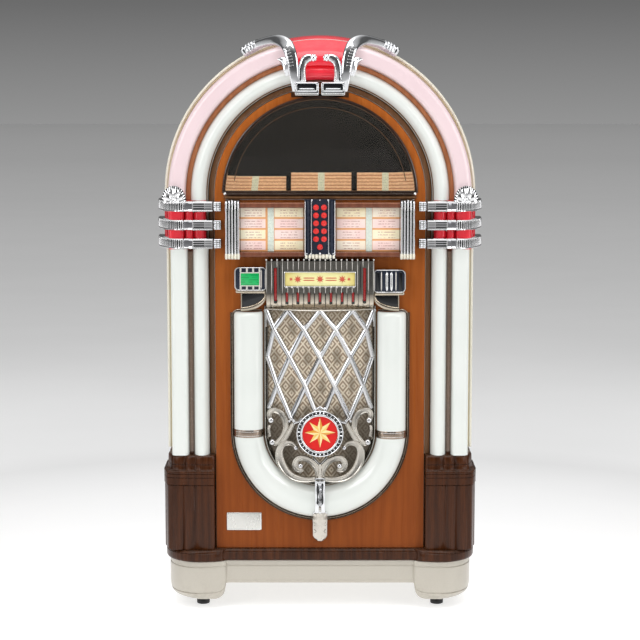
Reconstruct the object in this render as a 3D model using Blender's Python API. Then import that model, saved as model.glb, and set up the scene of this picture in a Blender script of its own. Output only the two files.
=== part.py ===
"""Arched-top compact-disc jukebox as an assembly of separate, named pieces.

Units are metres. X is to the viewer's right, Y to the back (the front faces -Y), Z up.
The origin is the middle of the footprint at floor level.
Most lit plastics are sweeps: a section of (u, y) pairs is carried along stations (z, angle),
where u is the distance from the machine's middle line, or from the arch's centre on the arch.
"""
import math

import bmesh
import bpy
from mathutils import Vector

# Envelope
HEIGHT = 1.524
DEPTH = 0.690
ARCH_RADIUS = 0.416
COLUMN_INSET = 0.005
GAP = 0.0003
CHORD_GAP = 0.0010
CORNER_SEGMENTS = 5
ARC_SEGMENTS = 14
ARCH_Z = HEIGHT - ARCH_RADIUS
FRONT_Y = -DEPTH / 2
BACK_Y = DEPTH / 2

# Planes in depth
DOOR_SETBACK = 0.060
DOOR_THICKNESS = 0.020
FRAME_DEPTH = 0.1347
FLANGE_THICKNESS = 0.018
BACK_PANEL_THICKNESS = 0.012
DOOR_FACE_Y = FRONT_Y + DOOR_SETBACK
FRAME_FACE_Y = DOOR_FACE_Y + DOOR_THICKNESS + GAP
FLANGE_BACK_Y = FRAME_FACE_Y + FRAME_DEPTH
FLANGE_FRONT_Y = FLANGE_BACK_Y - FLANGE_THICKNESS

# Base: levels from the floor up
CARCASS_Z = 0.137
PLINTH_HEIGHT = 0.026
DOOR_CLEARANCE = 0.001
PILASTER_HEIGHT = 0.253
PILASTER_BODY_HEIGHT = 0.161
PILASTER_TIER_HEIGHT = 0.042
PLINTH_TOP_Z = CARCASS_Z + PLINTH_HEIGHT
DOOR_BOTTOM_Z = PLINTH_TOP_Z + DOOR_CLEARANCE
PILASTER_TOP_Z = PLINTH_TOP_Z + PILASTER_HEIGHT
PILASTER_BODY_Z = PLINTH_TOP_Z + PILASTER_BODY_HEIGHT
PILASTER_TIER_Z = PILASTER_BODY_Z + PILASTER_TIER_HEIGHT

# Lit plastics and the mouldings around them, from the arch's edge inwards
MOULDING_WIDTH = 0.0115
MOULDING_DEPTH = 0.040
MOULDING_REACH = 0.0215
PLASTIC_WALL = 0.003
OUTER_WIDTH = 0.0625
OUTER_NOSE_WIDTH = 0.0135
OUTER_NOSE_RISE = 0.033
OUTER_SIDE_REACH = 0.017
TUBE_GAP = 0.0155
INNER_TUBE_WIDTH = 0.0395
INNER_TUBE_RISE = 0.033
TUBE_INSET = 0.0038
COLLAR_DROP = 0.0145
COLLAR_HEIGHT = 0.1275
BUBBLE_RADIUS = 0.0065
KEYSTONE_HALF_ANGLE = 0.20
LOBE_WEB = 0.005
MOULDING_FRONT_Y = FLANGE_FRONT_Y - MOULDING_REACH
OUTER_SIDE_Y = FLANGE_FRONT_Y - OUTER_SIDE_REACH
OUTER_LOW = ARCH_RADIUS - OUTER_WIDTH
OUTER_NOSE = OUTER_LOW + OUTER_NOSE_WIDTH
INNER_TUBE_HIGH = OUTER_LOW - TUBE_GAP
INNER_TUBE_LOW = INNER_TUBE_HIGH - INNER_TUBE_WIDTH
COLLAR_HIGH_Z = ARCH_Z - COLLAR_DROP
COLLAR_LOW_Z = COLLAR_HIGH_Z - COLLAR_HEIGHT
COLUMN_LOW_Z = PILASTER_TOP_Z + GAP

# Cabinet
SHELL_INSET = 0.016
SHELL_WALL = 0.018
FRAME_MARGIN = 0.0085
DOOR_MARGIN = 0.0225
DOOR_LAP = 0.014
DOOR_LAP_Z = 0.018
VENT_COUNT = 6
VENT_WIDTH = 0.300
VENT_HEIGHT = 0.012
VENT_PITCH = 0.040
VENT_DROP = 0.258
INLET_WIDTH = 0.028
INLET_HEIGHT = 0.022
INLET_RISE = 0.093
INLET_RECESS = 0.008
SHELL_HALF = ARCH_RADIUS - SHELL_INSET
FRAME_OUTER_HALF = OUTER_LOW - FRAME_MARGIN
DOOR_HALF = INNER_TUBE_LOW - DOOR_MARGIN
FRAME_OPENING_HALF = DOOR_HALF - DOOR_LAP
FRAME_OPENING_Z = DOOR_BOTTOM_Z + DOOR_LAP_Z
VENT_Z = ARCH_Z - VENT_DROP
INLET_Z = CARCASS_Z + INLET_RISE

# Chrome bands around the collars
SWING_CLEARANCE = 0.0045
BAND_HEIGHT = 0.029
BAND_PITCH = 0.0485
BAND_PROUD = 0.018
BAND_SIDE_PROUD = 0.029
BAND_TIERS = ("lower", "middle", "upper")
CREST_HEIGHT = 0.046
CREST_WIDTH = 0.054
CREST_THICKNESS = 0.015
CREST_SWELL_SHARE = 0.06
BAND_LOW_Z = COLLAR_LOW_Z + CHORD_GAP
BAND_SEAM_HALF = DOOR_HALF + SWING_CLEARANCE

# Door
WINDOW_MARGIN = 0.019
WINDOW_SILL_RISE = 0.0045
BEZEL_WIDTH = 0.009
BEZEL_PROUD = 0.009
GLASS_THICKNESS = 0.004
GLASS_SETBACK = 0.006
WINDOW_RADIUS = DOOR_HALF - WINDOW_MARGIN
WINDOW_SILL_Z = ARCH_Z + WINDOW_SILL_RISE

# Crown castings over the top of the arch
CROWN_CLEARANCE = 0.0012
CROWN_BLOCK_HEIGHT = 0.0345
CROWN_BLOCK_HALF = 0.065
CROWN_LUG_INSET = 0.005
CROWN_SEAM_HALF = 0.003
CROWN_SETBACK = 0.011
CROWN_PANEL_DEPTH = 0.003
CROWN_PANEL_MARGIN = 0.009
CROWN_AHEAD = 0.026
STRAP_WIDTH = 0.026
STRAP_DEPTH = 0.012
ARM_WIDTH = 0.018
ARM_DEPTH = 0.013
NOTCH_CLEARANCE = 0.010
NOTCH_DROP = 0.0052
CROWN_BLOCK_Z = ARCH_Z + WINDOW_RADIUS + CROWN_CLEARANCE
CROWN_FRONT_Y = FRONT_Y + CROWN_SETBACK
DOOR_NOTCH_HALF = CROWN_BLOCK_HALF + NOTCH_CLEARANCE
DOOR_NOTCH_Z = CROWN_BLOCK_Z - NOTCH_DROP

# Title rack, its brackets and the keypad
RACK_MARGIN = 0.028
RACK_DROP = 0.018
RACK_HEIGHT = 0.144
RACK_PLATE = 0.015
RACK_MOULDING = 0.0145
RACK_PROUD = 0.037
CARD_THICKNESS = 0.002
BRACKET_WIDTH = 0.0395
BRACKET_FOOT = 0.003
BRACKET_CREST = 0.0085
BRACKET_PROUD = 0.048
BRACKET_FLUTES = 5
KEYPAD_HALF = 0.0405
KEYPAD_RIBS = 0.012
KEYPAD_PROUD = 0.047
KEYPAD_FACE_PROUD = 0.043
BUTTON_RADIUS = 0.0075
BUTTON_PROUD = 0.0035
BUTTON_LENGTH = 0.0125
BUTTON_TRAVEL = 0.0025
BUTTON_CLEARANCE = 0.0003
BUTTON_X = 0.0103
BUTTON_DROP = 0.021
BUTTON_PITCH = 0.0206
BUTTON_ROWS = 5
RACK_HALF = DOOR_HALF - RACK_MARGIN
RACK_HIGH_Z = ARCH_Z - RACK_DROP
RACK_LOW_Z = RACK_HIGH_Z - RACK_HEIGHT
BRACKET_INNER = RACK_HALF - BRACKET_WIDTH
BRACKET_LOW_Z = RACK_LOW_Z - BRACKET_FOOT
BRACKET_HIGH_Z = RACK_HIGH_Z + BRACKET_CREST
KEYPAD_FACE_HALF = KEYPAD_HALF - KEYPAD_RIBS
BUTTON_TOP_Z = BRACKET_HIGH_Z - BUTTON_DROP

# Escutcheon with its display and coin housings
ESCUTCHEON_MARGIN = 0.136
ESCUTCHEON_DROP = 0.0035
ESCUTCHEON_HEIGHT = 0.1225
ESCUTCHEON_PROUD = 0.047
ESCUTCHEON_RIBS = 20
RIB_HEIGHT = 0.0035
ESCUTCHEON_ROLL = 0.030
NAME_MARGIN = 0.049
NAME_RISE = 0.053
NAME_HEIGHT = 0.035
RECESS_DEPTH = 0.006
LONG_SLOT_INSET = 0.0235
LONG_SLOT_WIDTH = 0.009
LONG_SLOT_LENGTH = 0.090
SLOT_RISE = 0.011
SHORT_SLOT_COUNT = 7
SHORT_SLOT_SPAN_SHARE = 0.95
SHORT_SLOT_WIDTH = 0.008
SHORT_SLOT_LENGTH = 0.025
HOUSING_MARGIN = 0.052
HOUSING_PROUD = 0.038
DISPLAY_RISE = 0.046
DISPLAY_HEIGHT = 0.056
COIN_RISE = 0.036
COIN_HEIGHT = 0.058
CORBEL_INSET = 0.016
CORBEL_DROP = 0.0085
CORBEL_PROUD = 0.040
LCD_INNER_MARGIN = 0.016
LCD_OUTER_MARGIN = 0.017
LCD_MARGIN = 0.012
COIN_SLOT_WIDTH = 0.004
COIN_SLOT_LENGTH = 0.034
COIN_BAR_HALF = 0.0085
COIN_BAR_PROUD = 0.006
ESCUTCHEON_HALF = DOOR_HALF - ESCUTCHEON_MARGIN
ESCUTCHEON_HIGH_Z = RACK_LOW_Z - ESCUTCHEON_DROP
ESCUTCHEON_LOW_Z = ESCUTCHEON_HIGH_Z - ESCUTCHEON_HEIGHT
NAME_HALF = ESCUTCHEON_HALF - NAME_MARGIN
NAME_LOW_Z = ESCUTCHEON_LOW_Z + NAME_RISE
NAME_HIGH_Z = NAME_LOW_Z + NAME_HEIGHT
LONG_SLOT_X = ESCUTCHEON_HALF - LONG_SLOT_INSET
SLOT_LOW_Z = ESCUTCHEON_LOW_Z + SLOT_RISE
HOUSING_OUTER = DOOR_HALF - HOUSING_MARGIN
DISPLAY_LOW_Z = ESCUTCHEON_LOW_Z + DISPLAY_RISE
DISPLAY_HIGH_Z = DISPLAY_LOW_Z + DISPLAY_HEIGHT
COIN_LOW_Z = ESCUTCHEON_LOW_Z + COIN_RISE
COIN_HIGH_Z = COIN_LOW_Z + COIN_HEIGHT
CORBEL_OUTER = HOUSING_OUTER - CORBEL_INSET
CORBEL_LOW_Z = ESCUTCHEON_LOW_Z - CORBEL_DROP
LCD_LOW_X = ESCUTCHEON_HALF + LCD_INNER_MARGIN
LCD_HIGH_X = HOUSING_OUTER - LCD_OUTER_MARGIN
COIN_SLOT_X = (ESCUTCHEON_HALF + HOUSING_OUTER) / 2

# U-shaped plastic and the grille inside it
U_MARGIN = 0.0425
U_WIDTH = 0.076
U_FOOT_RISE = 0.0855
U_TOP_DROP = 0.0115
U_RISE = 0.040
U_TRIM_WIDTH = 0.0065
U_TRIM_RISE = 0.008
GRILLE_CLEARANCE = 0.0035
GRILLE_LAP = 0.0155
GRILLE_RIM = 0.011
GRILLE_RIM_DEPTH = 0.013
GRILLE_BULGE = 0.028
GRILLE_BACK_RISE = 0.010
CLOTH_THICKNESS = 0.0015
LATTICE_WIDTH = 0.0085
LATTICE_DEPTH = 0.009
LATTICE_STAGGER = 0.0007
SCROLL_WIDTH = 0.012
MEDALLION_DROP = 0.0035
MEDALLION_RADIUS = 0.0462
MEDALLION_SETBACK = 0.008
BEAD_RING_RADIUS = 0.0620
BEAD_RING_DEPTH = 0.018
STAR_RISE = 0.006
STAR_POINTS = 8
DROP_HALF = 0.0135
DROP_LAP = 0.035
DROP_FOOT_RISE = 0.0255
DROP_THICKNESS = 0.016
U_TRIM_RADIUS = DOOR_HALF - U_MARGIN
U_OUTER = U_TRIM_RADIUS - U_TRIM_WIDTH
U_INNER = U_OUTER - U_WIDTH
U_CENTRE_Z = DOOR_BOTTOM_Z + U_FOOT_RISE + U_TRIM_RADIUS
U_TOP_Z = ESCUTCHEON_LOW_Z - U_TOP_DROP
GRILLE_HALF = U_INNER - GRILLE_CLEARANCE
GRILLE_OPENING_HALF = GRILLE_HALF - GRILLE_LAP
MEDALLION_Z = U_CENTRE_Z - MEDALLION_DROP
MEDALLION_FACE_Y = FRONT_Y + MEDALLION_SETBACK
DROP_TOP_Z = U_CENTRE_Z - U_INNER + DROP_LAP
DROP_LOW_Z = DOOR_BOTTOM_Z + DROP_FOOT_RISE

# Pilaster bases, plinth, skirt and glides
PILASTER_OVERHANG = 0.0085
PILASTER_SETBACK = 0.033
PILASTER_TIER_INSET = 0.012
PILASTER_ROLL = 0.0035
PILASTER_LOBE_DEPTH = 0.006
PILASTER_FALL = 0.012
PILASTER_CORNER = 0.057
PILASTER_SIDE_LOBES = 2
PLINTH_INSET = 0.0015
PLINTH_SETBACK = 0.0235
SKIRT_INSET = 0.0105
SKIRT_SETBACK = 0.031
FOOT_BULGE = 0.022
FOOT_ROUND = 0.085
FOOT_ROUND_DEPTH = 0.100
SKIRT_BACK_SETBACK = 0.014
SKIRT_LOW_Z = 0.0305
SKIRT_WALL = 0.012
SKIRT_ARCH_RISE = 0.040
FOOT_LENGTH = 0.156
GLIDE_INSET_X = 0.0895
GLIDE_INSET_Y = 0.105
GLIDE_PAD_RADIUS = 0.0175
GLIDE_PAD_HEIGHT = 0.014
GLIDE_STEM_RADIUS = 0.006
GLIDE_STEM_TOP = 0.075
GLIDE_BOSS_RADIUS = 0.022
PILASTER_INNER = DOOR_HALF + SWING_CLEARANCE
PILASTER_OUTER = ARCH_RADIUS + PILASTER_OVERHANG
PILASTER_FRONT_Y = FRONT_Y + PILASTER_SETBACK
PLINTH_HALF = ARCH_RADIUS - PLINTH_INSET
PLINTH_FRONT_Y = FRONT_Y + PLINTH_SETBACK
SKIRT_HALF = ARCH_RADIUS - SKIRT_INSET
SKIRT_FRONT_Y = FRONT_Y + SKIRT_SETBACK
SKIRT_BACK_Y = BACK_Y - SKIRT_BACK_SETBACK
SKIRT_ARCH_Z = SKIRT_LOW_Z + SKIRT_ARCH_RISE
GLIDE_X = SKIRT_HALF - GLIDE_INSET_X
GLIDE_Y = BACK_Y - GLIDE_INSET_Y

# Disc changer inside
DECK_DROP = 0.178
DECK_THICKNESS = 0.015
DECK_FRONT_CLEARANCE = 0.030
DECK_BACK_CLEARANCE = 0.045
TOWER_HALF = 0.060
TOWER_HEIGHT = 0.030
CAROUSEL_RADIUS = 0.165
CAROUSEL_HEIGHT = 0.135
CAROUSEL_SLOTS = 20
CAROUSEL_SLOT_DEPTH = 0.050
CAROUSEL_SETBACK = 0.255
SPINDLE_RADIUS = 0.012
SPINDLE_TOP = 0.160
DECK_Z = ARCH_Z - DECK_DROP
DECK_FRONT_Y = FLANGE_BACK_Y + DECK_FRONT_CLEARANCE
DECK_BACK_Y = BACK_Y - DECK_BACK_CLEARANCE
CAROUSEL_Y = BACK_Y - CAROUSEL_SETBACK

for stale in list(bpy.data.objects):
    bpy.data.objects.remove(stale, do_unlink=True)


def make_material(name, colour, metallic, roughness):
    made = bpy.data.materials.new(name)
    made.use_nodes = True
    shader = made.node_tree.nodes["Principled BSDF"]
    shader.inputs["Base Color"].default_value = (*colour, 1.0)
    shader.inputs["Metallic"].default_value = metallic
    shader.inputs["Roughness"].default_value = roughness
    return made


CHROME = make_material("chrome", (0.80, 0.80, 0.82), 1.0, 0.08)
DOOR_WOOD = make_material("door_wood", (0.33, 0.11, 0.04), 0.0, 0.45)
DARK_WOOD = make_material("dark_wood", (0.09, 0.035, 0.018), 0.0, 0.30)
SHELL_WOOD = make_material("shell_wood", (0.20, 0.08, 0.03), 0.0, 0.40)
FRAME_BROWN = make_material("frame_brown", (0.22, 0.11, 0.05), 0.0, 0.50)
WHITE_PLASTIC = make_material("white_plastic", (0.86, 0.88, 0.85), 0.0, 0.25)
PINK_PLASTIC = make_material("pink_plastic", (0.85, 0.66, 0.68), 0.0, 0.25)
RED_PLASTIC = make_material("red_plastic", (0.72, 0.03, 0.07), 0.0, 0.20)
CREAM = make_material("cream_moulding", (0.75, 0.70, 0.55), 0.0, 0.35)
CLEAR = make_material("bubble_tube", (0.80, 0.72, 0.55), 0.0, 0.10)
DARK_METAL = make_material("dark_metal", (0.05, 0.045, 0.04), 0.6, 0.40)
GLASS = make_material("window_glass", (0.06, 0.06, 0.06), 0.0, 0.05)
PAPER = make_material("card_paper", (0.80, 0.60, 0.42), 0.0, 0.70)
CLOTH = make_material("grille_cloth", (0.55, 0.44, 0.30), 0.0, 0.90)
SATIN = make_material("satin_paint", (0.55, 0.53, 0.48), 0.5, 0.45)
STEEL = make_material("steel", (0.45, 0.45, 0.45), 1.0, 0.35)
GOLD = make_material("medallion_enamel", (0.85, 0.15, 0.05), 0.0, 0.25)


def make_object(name, verts, faces, mat, smooth=False):
    mesh = bpy.data.meshes.new(name)
    mesh.from_pydata([tuple(v) for v in verts], [], faces)
    shape = bmesh.new()
    shape.from_mesh(mesh)
    bmesh.ops.recalc_face_normals(shape, faces=shape.faces)
    bmesh.ops.triangulate(shape, faces=shape.faces)
    shape.to_mesh(mesh)
    shape.free()
    if smooth:
        mesh.shade_smooth()
    mesh.materials.append(mat)
    made = bpy.data.objects.new(name, mesh)
    bpy.context.scene.collection.objects.link(made)
    return made


def loft(name, rings, mat, smooth=False, closed=False):
    """Join rings of equal length into one skin, with a cap on each open end."""
    size = len(rings[0])
    verts = [point for ring in rings for point in ring]
    faces = []
    count = len(rings) if closed else len(rings) - 1
    for row in range(count):
        low, high = row * size, ((row + 1) % len(rings)) * size
        for at in range(size):
            after = (at + 1) % size
            faces.append((low + at, low + after, high + after, high + at))
    if not closed:
        faces.append(tuple(range(size)))
        faces.append(tuple(range(len(verts) - size, len(verts))))
    return make_object(name, verts, faces, mat, smooth)


def loft_many(name, lofts, mat):
    """Several separate lofts in one object, as one tool for a single cut."""
    verts, faces = [], []
    for rings in lofts:
        size, start = len(rings[0]), len(verts)
        verts += [point for ring in rings for point in ring]
        for row in range(len(rings) - 1):
            low = start + row * size
            for at in range(size):
                after = (at + 1) % size
                faces.append((low + at, low + after, low + after + size, low + at + size))
        faces.append(tuple(range(start, start + size)))
        faces.append(tuple(range(len(verts) - size, len(verts))))
    return make_object(name, verts, faces, mat)


def prism_y(name, outline, low_y, high_y, mat, smooth=False):
    """Extrude an outline of (x, z) pairs from low_y to high_y."""
    rings = [[Vector((x, y, z)) for x, z in outline] for y in (low_y, high_y)]
    return loft(name, rings, mat, smooth)


def prism_z(name, outline, low_z, high_z, mat, smooth=False):
    """Extrude a plan outline of (x, y) pairs from low_z to high_z."""
    rings = [[Vector((x, y, z)) for x, y in outline] for z in (low_z, high_z)]
    return loft(name, rings, mat, smooth)


def prism_x(name, outline, low_x, high_x, mat, smooth=False):
    """Extrude a side outline of (y, z) pairs from low_x to high_x."""
    rings = [[Vector((x, y, z)) for y, z in outline] for x in (low_x, high_x)]
    return loft(name, rings, mat, smooth)


def box(name, low, high, mat):
    outline = [(low[0], low[1]), (high[0], low[1]), (high[0], high[1]), (low[0], high[1])]
    return prism_z(name, outline, low[2], high[2], mat)


def disc_rings(centre, axis_y, radii, segments):
    """Rings about a Y axis: axis_y gives the depth and radii the radius of each ring."""
    turns = [2 * math.pi * step / segments for step in range(segments)]
    return [
        [Vector((centre[0] + r * math.cos(t), y, centre[1] + r * math.sin(t))) for t in turns]
        for y, r in zip(axis_y, radii)
    ]


def post(name, centre, levels, segments, mat):
    """Turned piece about a Z axis through centre: levels lists (z, radius)."""
    turns = [2 * math.pi * step / segments for step in range(segments)]
    rings = [
        [Vector((centre[0] + r * math.cos(t), centre[1] + r * math.sin(t), z)) for t in turns]
        for z, r in levels
    ]
    return loft(name, rings, mat, smooth=True)


def combine(target, tool, operation):
    """Put a boolean on the target. The tool stays in the file, hidden from renders."""
    change = target.modifiers.new(operation.lower(), "BOOLEAN")
    change.operation = operation
    change.solver = "EXACT"
    change.object = tool
    tool.hide_render = True
    tool.display_type = "WIRE"
    return target


def cut(target, tool):
    return combine(target, tool, "DIFFERENCE")


def fuse(target, tool):
    return combine(target, tool, "UNION")


def arch_outline(half, centre_z, low_z, segments=ARC_SEGMENTS * 2):
    """Upright sides with a half-round top, as (x, z) pairs from the lower right corner."""
    turns = [math.pi * step / segments for step in range(segments + 1)]
    arc = [(half * math.cos(t), centre_z + half * math.sin(t)) for t in turns]
    return [(half, low_z)] + arc + [(-half, low_z)]


def u_outline(half, centre_z, top_z, segments=ARC_SEGMENTS * 2):
    """Upright sides with a half-round bottom, as (x, z) pairs."""
    turns = [math.pi * step / segments for step in range(segments + 1)]
    arc = [(-half * math.cos(t), centre_z - half * math.sin(t)) for t in turns]
    return [(-half, top_z)] + arc + [(half, top_z)]


def half_ellipse(low_u, high_u, base_y, rise, segments=8):
    """Bulge from low_u to high_u that stands rise in front of base_y, as (u, y) pairs."""
    middle, half = (low_u + high_u) / 2, (high_u - low_u) / 2
    turns = [math.pi * step / segments for step in range(segments + 1)]
    return [(middle - half * math.cos(t), base_y - rise * math.sin(t)) for t in turns]


def outer_curve(low_u, high_u, inset=0.0):
    """Front of the outer plastic: a small round at its inner edge, then a quarter ellipse."""
    nose_y = FRAME_FACE_Y - OUTER_NOSE_RISE + inset
    nose_u = OUTER_NOSE
    small = nose_u - low_u - inset
    turns = [math.pi / 2 * step / CORNER_SEGMENTS for step in range(CORNER_SEGMENTS + 1)]
    rise = FRAME_FACE_Y - GAP - nose_y
    inner = [(nose_u - small * math.cos(t), nose_y + rise * (1 - math.sin(t))) for t in turns]
    wide = high_u - inset - nose_u
    depth = OUTER_SIDE_Y - nose_y
    outer = [
        (nose_u + wide * math.sin(t), nose_y + depth * (1 - math.cos(t))) for t in turns[1:]
    ]
    return inner + outer


def shell_section(outer, inner):
    """Closed section between an outer curve and the inner curve behind it."""
    return outer + inner[::-1]


def column_stations(low_z, high_z):
    return [(low_z, 0.0), (high_z, 0.0)]


def arch_stations(low_z, end_angle):
    """Up a straight length to the springing line, then around the arch to end_angle."""
    turns = [end_angle * step / ARC_SEGMENTS for step in range(ARC_SEGMENTS + 1)]
    return [(low_z, 0.0)] + [(ARCH_Z, turn) for turn in turns]


def station_sweep(name, section, stations, side, mat, insets=None):
    """Carry the section along stations on the right (side 1) or the left (side -1)."""
    insets = insets or [0.0] * len(stations)
    rings = []
    for (z, turn), inset in zip(stations, insets):
        out_x, out_z = side * math.cos(turn), math.sin(turn)
        rings.append(
            [Vector(((u - inset) * out_x, y, z + (u - inset) * out_z)) for u, y in section]
        )
    return loft(name, rings, mat, smooth=False)


def swept_bar(name, path, width, depth, mat, taper=None, sides=5):
    """Bar with a rounded section along a path of points; its back stays to the rear.

    The taper gives each point's share of the width and of the depth.
    """
    path = [Vector(point) for point in path]
    rings = []
    for at, point in enumerate(path):
        before, after = path[max(at - 1, 0)], path[min(at + 1, len(path) - 1)]
        along = (after - before).normalized()
        across = along.cross(Vector((0, 1, 0)))
        if across.length < 1e-6:
            across = Vector((1, 0, 0))
        across.normalize()
        front = across.cross(along).normalized()
        width_share, depth_share = taper[at] if taper else (1.0, 1.0)
        ring = []
        for step in range(sides):
            turn = 2 * math.pi * (step + 0.25) / sides
            ring.append(
                point
                + across * (width / 2 * width_share * math.cos(turn))
                + front * (depth / 2 * depth_share * math.sin(turn))
            )
        rings.append(ring)
    return loft(name, rings, mat, smooth=True)


def mirror_points(points):
    """The same path on the other side, set back a little so that crossing bars pass cleanly."""
    return [(-x, y + LATTICE_STAGGER, z) for x, y, z in points]


def offset_curve(points, distance):
    """Move an open (x, y) curve along its left-hand normals."""
    moved = []
    for at, point in enumerate(points):
        before, after = points[max(at - 1, 0)], points[min(at + 1, len(points) - 1)]
        dx, dy = after[0] - before[0], after[1] - before[1]
        length = math.hypot(dx, dy)
        moved.append((point[0] + distance * dy / length, point[1] - distance * dx / length))
    return moved


SIDES = {"left": -1, "right": 1}


def build_cabinet():
    back_y = BACK_Y - BACK_PANEL_THICKNESS - GAP
    carcass = prism_y(
        "cabinet_carcass",
        arch_outline(SHELL_HALF, ARCH_Z, CARCASS_Z),
        FLANGE_BACK_Y + GAP,
        back_y,
        SHELL_WOOD,
    )
    inner = SHELL_HALF - SHELL_WALL
    hollow = prism_y(
        "carcass_hollow",
        arch_outline(inner, ARCH_Z, CARCASS_Z + SHELL_WALL),
        FLANGE_BACK_Y - SHELL_WALL,
        BACK_Y,
        SHELL_WOOD,
    )
    cut(carcass, hollow)

    panel = prism_y(
        "back_panel",
        arch_outline(SHELL_HALF - GAP, ARCH_Z, CARCASS_Z),
        BACK_Y - BACK_PANEL_THICKNESS,
        BACK_Y,
        DARK_METAL,
    )
    for row in range(VENT_COUNT):
        low_z = VENT_Z + row * VENT_PITCH
        slot = box(
            f"vent_cutter_{row}",
            (-VENT_WIDTH / 2, BACK_Y - 2 * BACK_PANEL_THICKNESS, low_z),
            (VENT_WIDTH / 2, BACK_Y + BACK_PANEL_THICKNESS, low_z + VENT_HEIGHT),
            DARK_METAL,
        )
        cut(panel, slot)
    inlet = box(
        "inlet_cutter",
        (-INLET_WIDTH / 2, BACK_Y - INLET_RECESS, INLET_Z),
        (INLET_WIDTH / 2, BACK_Y + INLET_RECESS, INLET_Z + INLET_HEIGHT),
        DARK_METAL,
    )
    cut(panel, inlet)

    frame = prism_y(
        "front_frame",
        arch_outline(FRAME_OUTER_HALF, ARCH_Z, CARCASS_Z),
        FRAME_FACE_Y,
        FLANGE_BACK_Y,
        FRAME_BROWN,
    )
    flange = prism_y(
        "frame_flange",
        arch_outline(SHELL_HALF - GAP, ARCH_Z, CARCASS_Z),
        FLANGE_FRONT_Y,
        FLANGE_BACK_Y,
        FRAME_BROWN,
    )
    fuse(frame, flange)
    opening = prism_y(
        "frame_opening",
        arch_outline(FRAME_OPENING_HALF, ARCH_Z, FRAME_OPENING_Z),
        FRAME_FACE_Y - DOOR_THICKNESS,
        FLANGE_BACK_Y + DOOR_THICKNESS,
        FRAME_BROWN,
    )
    cut(frame, opening)


def tube_section(inset=0.0):
    base_y = FRAME_FACE_Y - GAP
    rise = INNER_TUBE_RISE - inset
    return half_ellipse(INNER_TUBE_LOW + inset, INNER_TUBE_HIGH - inset, base_y, rise)


def lobe_curve():
    """Front of a red piece that spans the tube, the gap and the outer plastic."""
    base_y = FRAME_FACE_Y - GAP
    curve = tube_section() + outer_curve(OUTER_LOW, ARCH_RADIUS - MOULDING_WIDTH - GAP)
    return [(u, min(y, base_y - LOBE_WEB) if u < OUTER_NOSE else y) for u, y in curve]


def solid_lobe_section():
    """Section of a solid red piece: its front is the lobe curve, its back clears the frame."""
    side_u = FRAME_OUTER_HALF + GAP
    back_y = FLANGE_FRONT_Y - GAP
    base_y = FRAME_FACE_Y - GAP
    outer_u = ARCH_RADIUS - MOULDING_WIDTH - GAP
    back = [(outer_u, back_y), (side_u, back_y), (side_u, base_y), (INNER_TUBE_LOW, base_y)]
    return lobe_curve() + back


def moulding_section(shift):
    """Section of the outermost moulding. The wing beside the shell stays where it is."""
    low_u, high_u = ARCH_RADIUS - MOULDING_WIDTH - shift, ARCH_RADIUS - shift
    back_y = MOULDING_FRONT_Y + MOULDING_DEPTH
    lip = MOULDING_WIDTH / 3
    return [
        (low_u, MOULDING_FRONT_Y),
        (low_u + lip, MOULDING_FRONT_Y - lip),
        (high_u - lip, MOULDING_FRONT_Y),
        (high_u, MOULDING_FRONT_Y + lip),
        (high_u, back_y),
        (SHELL_HALF + CHORD_GAP, back_y),
        (SHELL_HALF + CHORD_GAP, FLANGE_FRONT_Y - GAP),
        (low_u, FLANGE_FRONT_Y - GAP),
    ]


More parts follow.
